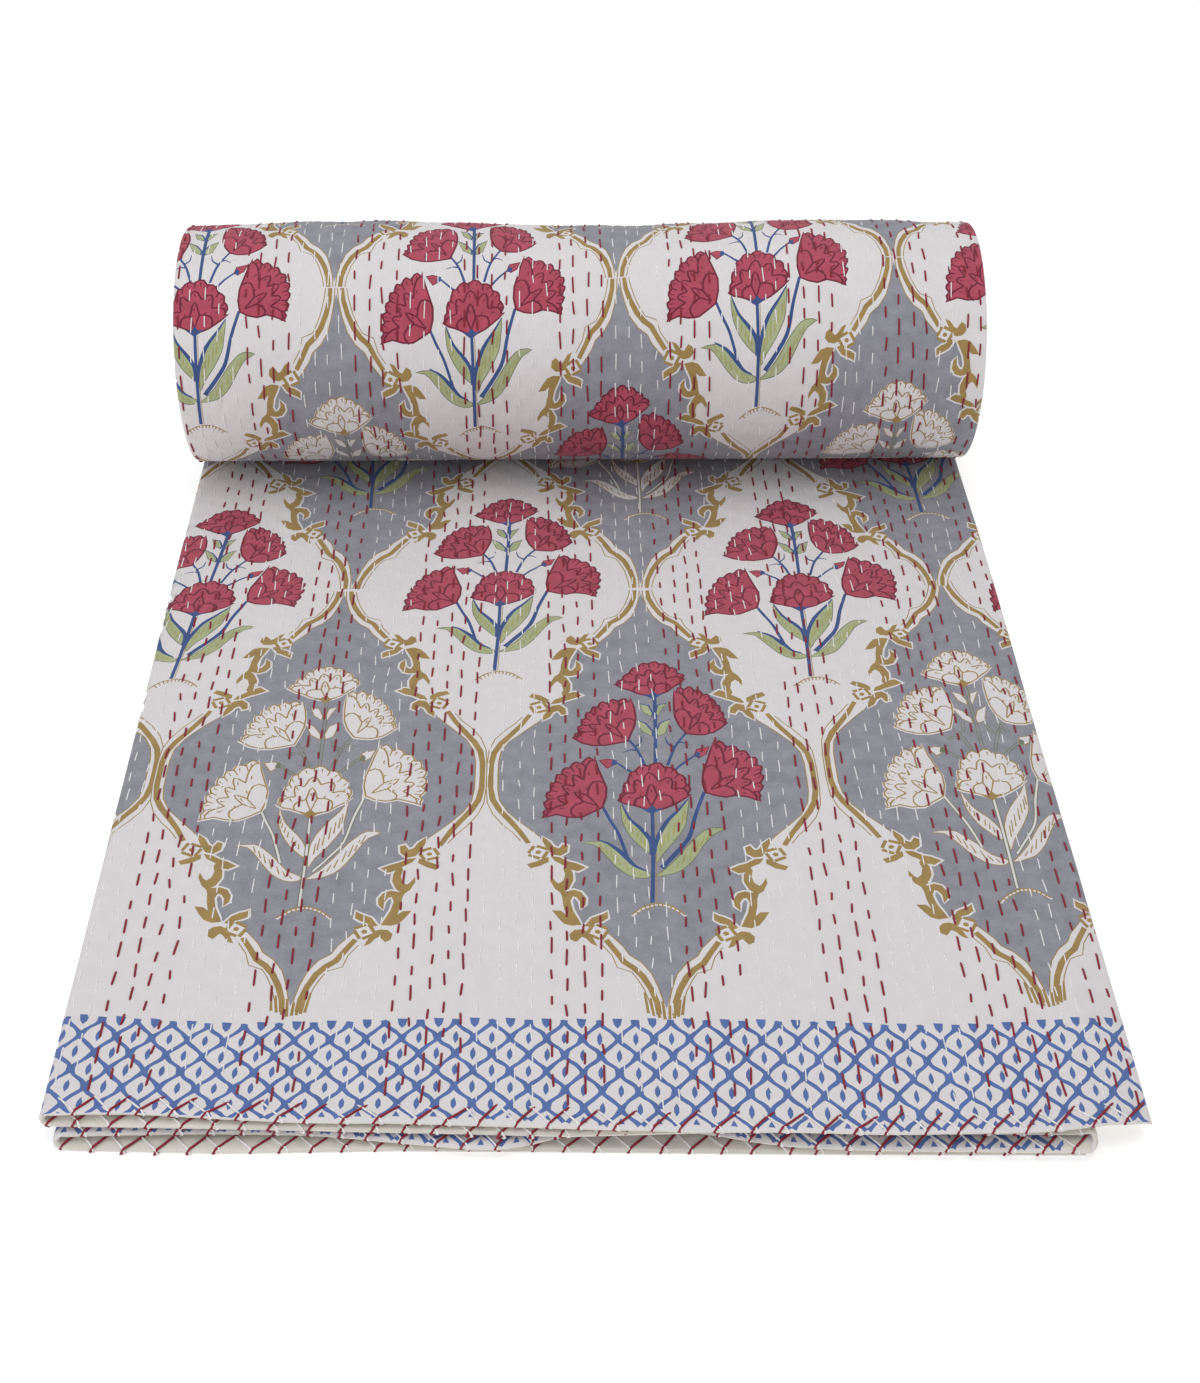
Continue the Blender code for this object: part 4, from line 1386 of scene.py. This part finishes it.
# A stitch over a hem goes from the top round the edge to the underside: how much of its reach it lies
# from the hem, how many half thicknesses of thread it stands off, and on which side it lies
OVER_THE_HEM = (
    (1.0, -0.7, 1), (0.86, 0.5, 1), (0.5, 0.55, 1), (0.14, 0.5, 1), (0.0, 0.9, 0), (0.10, 0.5, -1),
    (0.36, 0.45, -1), (0.48, -0.7, -1),
)


def stitch_rows(cloth, sizes, chance):
    """Every running stitch that shows, as points along it, maroon ones and pale ones apart."""
    found = {"maroon": [], "pale": []}
    pitch = sizes.stitch + sizes.stitch_gap
    for panel, first, last, maroon_rows, edge, to_next in STITCHED:
        for number in range(ROWS_A_PANEL):
            row = panel * ROWS_A_PANEL + number
            across = (row + 0.5) * cloth.row
            x = edge + (number + 0.5) * to_next
            kind = "maroon" if any(low <= x <= high for low, high in maroon_rows) else "pale"
            v = first + pitch * ((row * ROW_OFFSET) % 1.0)
            wander = chance.uniform(-0.0008, 0.0008)
            while v < last:
                size = sizes.stitch * chance.uniform(0.55, 1.18)
                lean = chance.gauss(0, 0.00024)
                aside = across + wander + chance.gauss(0, 0.00035)
                if chance.random() > 0.012 and v + size < last + 0.006:
                    found[kind].append((aside, lean, v, v + size))
                v += pitch + chance.gauss(0, 0.0012)
                wander = 0.85 * wander + chance.gauss(0, 0.0003)
    return found


def thread_points(cloth, stitches, thread):
    """Points over the cloth for stitches given as place across, lean, start and end along it."""
    shares, lifts = np.array(RUNNING).T
    middle, lean, start, end = (column[:, None] for column in np.array(stitches).T)
    across = (middle + lean * (shares - 0.5) * 2).ravel()
    along = (start + (end - start) * shares).ravel()
    points = cloth.place(across, along, 1)
    points += cloth.normals(across, along, 1) * np.tile(lifts * thread, len(stitches))[:, None]
    return points.reshape(len(stitches), len(RUNNING), 3)


def hem_threads(cloth, sizes, kind, chance):
    """Slanting stitches over the four hems, from one face over the edge to the other."""
    lines = []
    shares, lifts, sides = np.array(OVER_THE_HEM).T
    for layer in range(4):
        upper = 1 if layer % 2 == 0 else -1
        direction = -upper if kind == "maroon" else upper
        first = layer * cloth.panel + 0.010 + (0.0 if kind == "maroon" else sizes.overcast / 2)
        count = int((cloth.panel - 0.016) / sizes.overcast)
        for k in range(count + 1):
            base = first + k * sizes.overcast + chance.gauss(0, 0.0012)
            reach = chance.uniform(0.0105, 0.0135)
            slant = direction * chance.uniform(0.0048, 0.0070)
            across = np.clip(base + slant * (2 * shares - 1), 0.001, cloth.width - 0.001)
            v = np.maximum(shares * reach, 0.0004)
            faces = [cloth.place(across, v, face) for face in (1, -1)]
            outwards = [cloth.normals(across, v, face) for face in (1, -1)]
            middle = (faces[0] + faces[1]) / 2
            way = []
            for point, side in enumerate(sides):
                if side:
                    face = 0 if side == upper else 1
                    place, away = faces[face][point], outwards[face][point]
                else:
                    place, away = middle[point], np.array((0.0, -1.0, 0.0))
                way.append(place + away * lifts[point] * sizes.thread)
            way = np.array(way)
            way[:, 2] = np.maximum(way[:, 2], sizes.thread * 1.3)
            lines.append(way)
    return lines


def lines_mesh(name, lines):
    """A mesh of edges alone, one line of points after the other."""
    points = []
    edges = []
    for line in lines:
        edges += [(len(points) + k, len(points) + k + 1) for k in range(len(line) - 1)]
        points += [tuple(p) for p in line]
    mesh = bpy.data.meshes.new(name)
    mesh.from_pydata(points, edges, [])
    return mesh


def thread_tree(name, material):
    """Geometry Nodes that turn lines into threads of uneven thickness."""
    tree = bpy.data.node_groups.new(name, "GeometryNodeTree")
    face = tree.interface
    face.new_socket("Lines", in_out="INPUT", socket_type="NodeSocketGeometry")
    half = face.new_socket("Half thickness", in_out="INPUT", socket_type="NodeSocketFloat")
    half.default_value = 0.0005
    sides = face.new_socket("Sides", in_out="INPUT", socket_type="NodeSocketInt")
    sides.default_value = 5
    face.new_socket("Threads", in_out="OUTPUT", socket_type="NodeSocketGeometry")
    start = node(tree, "NodeGroupInput")
    curves = node(tree, "GeometryNodeMeshToCurve", links={0: start.outputs["Lines"]})
    number = node(tree, "GeometryNodeInputIndex")
    uneven = node(
        tree, "FunctionNodeRandomValue", {"data_type": "FLOAT", 2: 0.82, 3: 1.15, "Seed": 11},
        {"ID": number.outputs[0]},
    )
    width = node(
        tree, "GeometryNodeSetCurveRadius", links={0: curves.outputs[0], "Radius": uneven.outputs[1]},
    )
    profile = node(
        tree, "GeometryNodeCurvePrimitiveCircle",
        links={"Resolution": start.outputs["Sides"], "Radius": start.outputs["Half thickness"]},
    )
    tube = node(
        tree, "GeometryNodeCurveToMesh", {"Fill Caps": False},
        {"Curve": width.outputs[0], "Profile Curve": profile.outputs[0]},
    )
    smooth = node(tree, "GeometryNodeSetShadeSmooth", links={0: tube.outputs[0]})
    real = node(tree, "GeometryNodeRealizeInstances", links={0: smooth.outputs[0]})
    dressed = node(tree, "GeometryNodeSetMaterial", {"Material": material}, {0: real.outputs[0]})
    node(tree, "NodeGroupOutput", links={0: dressed.outputs[0]})
    return tree, {"half": half.identifier, "sides": sides.identifier}


def threads(name, lines, half_thickness, material):
    """A piece made of threads along the lines, as a plain mesh."""
    obj = new_piece(name, lines_mesh(name, lines))
    tree, sockets = thread_tree(name, material)
    modifier = obj.modifiers.new("threads", "NODES")
    modifier.node_group = tree
    modifier[sockets["half"]] = half_thickness
    modifier[sockets["sides"]] = 5
    bpy.context.view_layer.update()
    graph = bpy.context.evaluated_depsgraph_get()
    solid = bpy.data.meshes.new_from_object(obj.evaluated_get(graph))
    obj.modifiers.remove(modifier)
    obj.data = solid
    solid.name = name
    solid.materials.clear()
    solid.materials.append(material)
    return obj


def new_piece(name, mesh):
    """A piece at the origin, in the scene."""
    obj = bpy.data.objects.new(name, mesh)
    bpy.context.scene.collection.objects.link(obj)
    return obj


# ---------------------------------------------------------------------------------------------------
# Operators


class KANTHA_OT_cloth(bpy.types.Operator):
    """Builds the printed, quilted cloth, folded in four and rolled from its far end"""

    bl_idname = "kantha.cloth"
    bl_label = "Quilted cloth"

    def execute(self, context):
        sizes = context.scene.kantha_sizes
        colours = context.scene.kantha_colours
        cloth = Cloth(sizes)
        mesh = sheet_mesh(cloth, drawn_print(cloth), colours)
        obj = new_piece("quilt_cloth", mesh)
        mesh.materials.append(block_printed_cotton(cloth, True))
        mesh.materials.append(block_printed_cotton(cloth, False))
        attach(obj, "root")
        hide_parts("quilt")
        return {"FINISHED"}


class KANTHA_OT_running_stitch(bpy.types.Operator):
    """Sews the rows of running stitch, maroon rows in groups between pale ones"""

    bl_idname = "kantha.running_stitch"
    bl_label = "Running stitch"

    def execute(self, context):
        sizes = context.scene.kantha_sizes
        colours = context.scene.kantha_colours
        cloth = Cloth(sizes)
        rows = stitch_rows(cloth, sizes, random.Random(3))
        for kind, colour, half in (
            ("maroon", colours.maroon, sizes.thread), ("pale", colours.pale, sizes.fine_thread),
        ):
            lines = thread_points(cloth, rows[kind], half)
            material = quilting_thread(kind + "_cotton_thread", colour)
            obj = threads(kind + "_running_stitch", lines, half, material)
            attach(obj, "root")
        return {"FINISHED"}


class KANTHA_OT_hem_stitch(bpy.types.Operator):
    """Sews the slanting stitches over the hems"""

    bl_idname = "kantha.hem_stitch"
    bl_label = "Hem stitch"

    def execute(self, context):
        sizes = context.scene.kantha_sizes
        cloth = Cloth(sizes)
        for kind in ("maroon", "pale"):
            lines = hem_threads(cloth, sizes, kind, random.Random(5))
            material = bpy.data.materials[kind + "_cotton_thread"]
            half = sizes.thread * 1.08 if kind == "maroon" else sizes.fine_thread * 1.35
            obj = threads(kind + "_hem_stitch", lines, half, material)
            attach(obj, "root")
        return {"FINISHED"}


# Lamps: name, place, what it aims at, size and power
LAMPS = (
    ("over", (0.1, 0.05, 2.4), (0.0, 0.1, 0.0), 2.2, 26.5),
    ("front", (0.0, -2.2, 0.8), (0.0, 0.5, 0.08), 1.8, 9.5),
    ("left", (-1.9, -0.9, 1.5), (0.0, 0.1, 0.05), 1.4, 8.5),
    ("back", (0.3, 1.9, 1.7), (0.0, 0.2, 0.1), 1.6, 7.0),
)
# The camera: its place, its turn to the right, downwards and about its axis in degrees, and its focal
# length as a share of the frame's height
CAMERA_PLACE = (-0.0188, -0.7004 + HEM_LINE, 0.835)
CAMERA_ANGLES = (1.478, 37.459, 0.466)
CAMERA_FOCUS = 2073.9 / 1383.0
SENSOR = 36.0


class KANTHA_OT_stage(bpy.types.Operator):
    """Sets the paper floor, the soft lights and the camera"""

    bl_idname = "kantha.stage"
    bl_label = "Stage"

    def execute(self, context):
        scene = context.scene
        mesh = bpy.data.meshes.new("floor")
        mesh.from_pydata([(-8, -8, 0), (8, -8, 0), (8, 8, 0), (-8, 8, 0)], [], [(0, 1, 2, 3)])
        mesh.materials.append(studio_paper())
        new_piece("floor", mesh)
        world = scene.world or bpy.data.worlds.new("studio")
        scene.world = world
        world.use_nodes = True
        sky = world.node_tree.nodes["Background"]
        sky.inputs["Color"].default_value = (1.0, 0.995, 1.0, 1.0)
        sky.inputs["Strength"].default_value = 0.38
        for name, place, aim, size, power in LAMPS:
            lamp = bpy.data.lights.new(name, "AREA")
            lamp.size = size
            lamp.energy = power
            obj = new_piece(name, lamp)
            obj.location = place
            obj.rotation_euler = (Vector(aim) - Vector(place)).to_track_quat("-Z", "Y").to_euler()
        camera = bpy.data.cameras.new("camera")
        camera.sensor_width = SENSOR
        camera.lens = SENSOR * CAMERA_FOCUS
        obj = new_piece("camera", camera)
        yaw, pitch, roll = (math.radians(angle) for angle in CAMERA_ANGLES)
        ahead = Vector((math.sin(yaw) * math.cos(pitch), math.cos(yaw) * math.cos(pitch), -math.sin(pitch)))
        level = Vector((math.cos(yaw), -math.sin(yaw), 0.0))
        up = level.cross(ahead)
        right = level * math.cos(roll) + up * math.sin(roll)
        top = up * math.cos(roll) - level * math.sin(roll)
        turned = Matrix((right, top, -ahead)).transposed().to_4x4()
        turned.translation = CAMERA_PLACE
        obj.matrix_world = turned
        scene.view_settings.view_transform = "Standard"
        scene.camera = obj
        return {"FINISHED"}


class KANTHA_PT_panel(bpy.types.Panel):
    """Sizes, colours and pieces of the quilt"""

    bl_idname = "KANTHA_PT_panel"
    bl_label = "Kantha quilt"
    bl_space_type = "VIEW_3D"
    bl_region_type = "UI"
    bl_category = "Kantha quilt"

    def draw(self, context):
        for group in (context.scene.kantha_sizes, context.scene.kantha_colours):
            box = self.layout.box()
            for name in group.__annotations__:
                box.prop(group, name)
        for operator in PIECES:
            self.layout.operator(operator.bl_idname)


PIECES = (KANTHA_OT_cloth, KANTHA_OT_running_stitch, KANTHA_OT_hem_stitch, KANTHA_OT_stage)
CLASSES = (KanthaSizes, KanthaColours) + PIECES + (KANTHA_PT_panel,)


def register():
    for kind in CLASSES:
        bpy.utils.register_class(kind)
    bpy.types.Scene.kantha_sizes = bpy.props.PointerProperty(type=KanthaSizes)
    bpy.types.Scene.kantha_colours = bpy.props.PointerProperty(type=KanthaColours)


def unregister():
    del bpy.types.Scene.kantha_colours
    del bpy.types.Scene.kantha_sizes
    for kind in reversed(CLASSES):
        bpy.utils.unregister_class(kind)


def main():
    register()
    bpy.ops.kantha.cloth()
    bpy.ops.kantha.running_stitch()
    bpy.ops.kantha.hem_stitch()
    bpy.ops.kantha.stage()


if __name__ == "__main__":
    main()
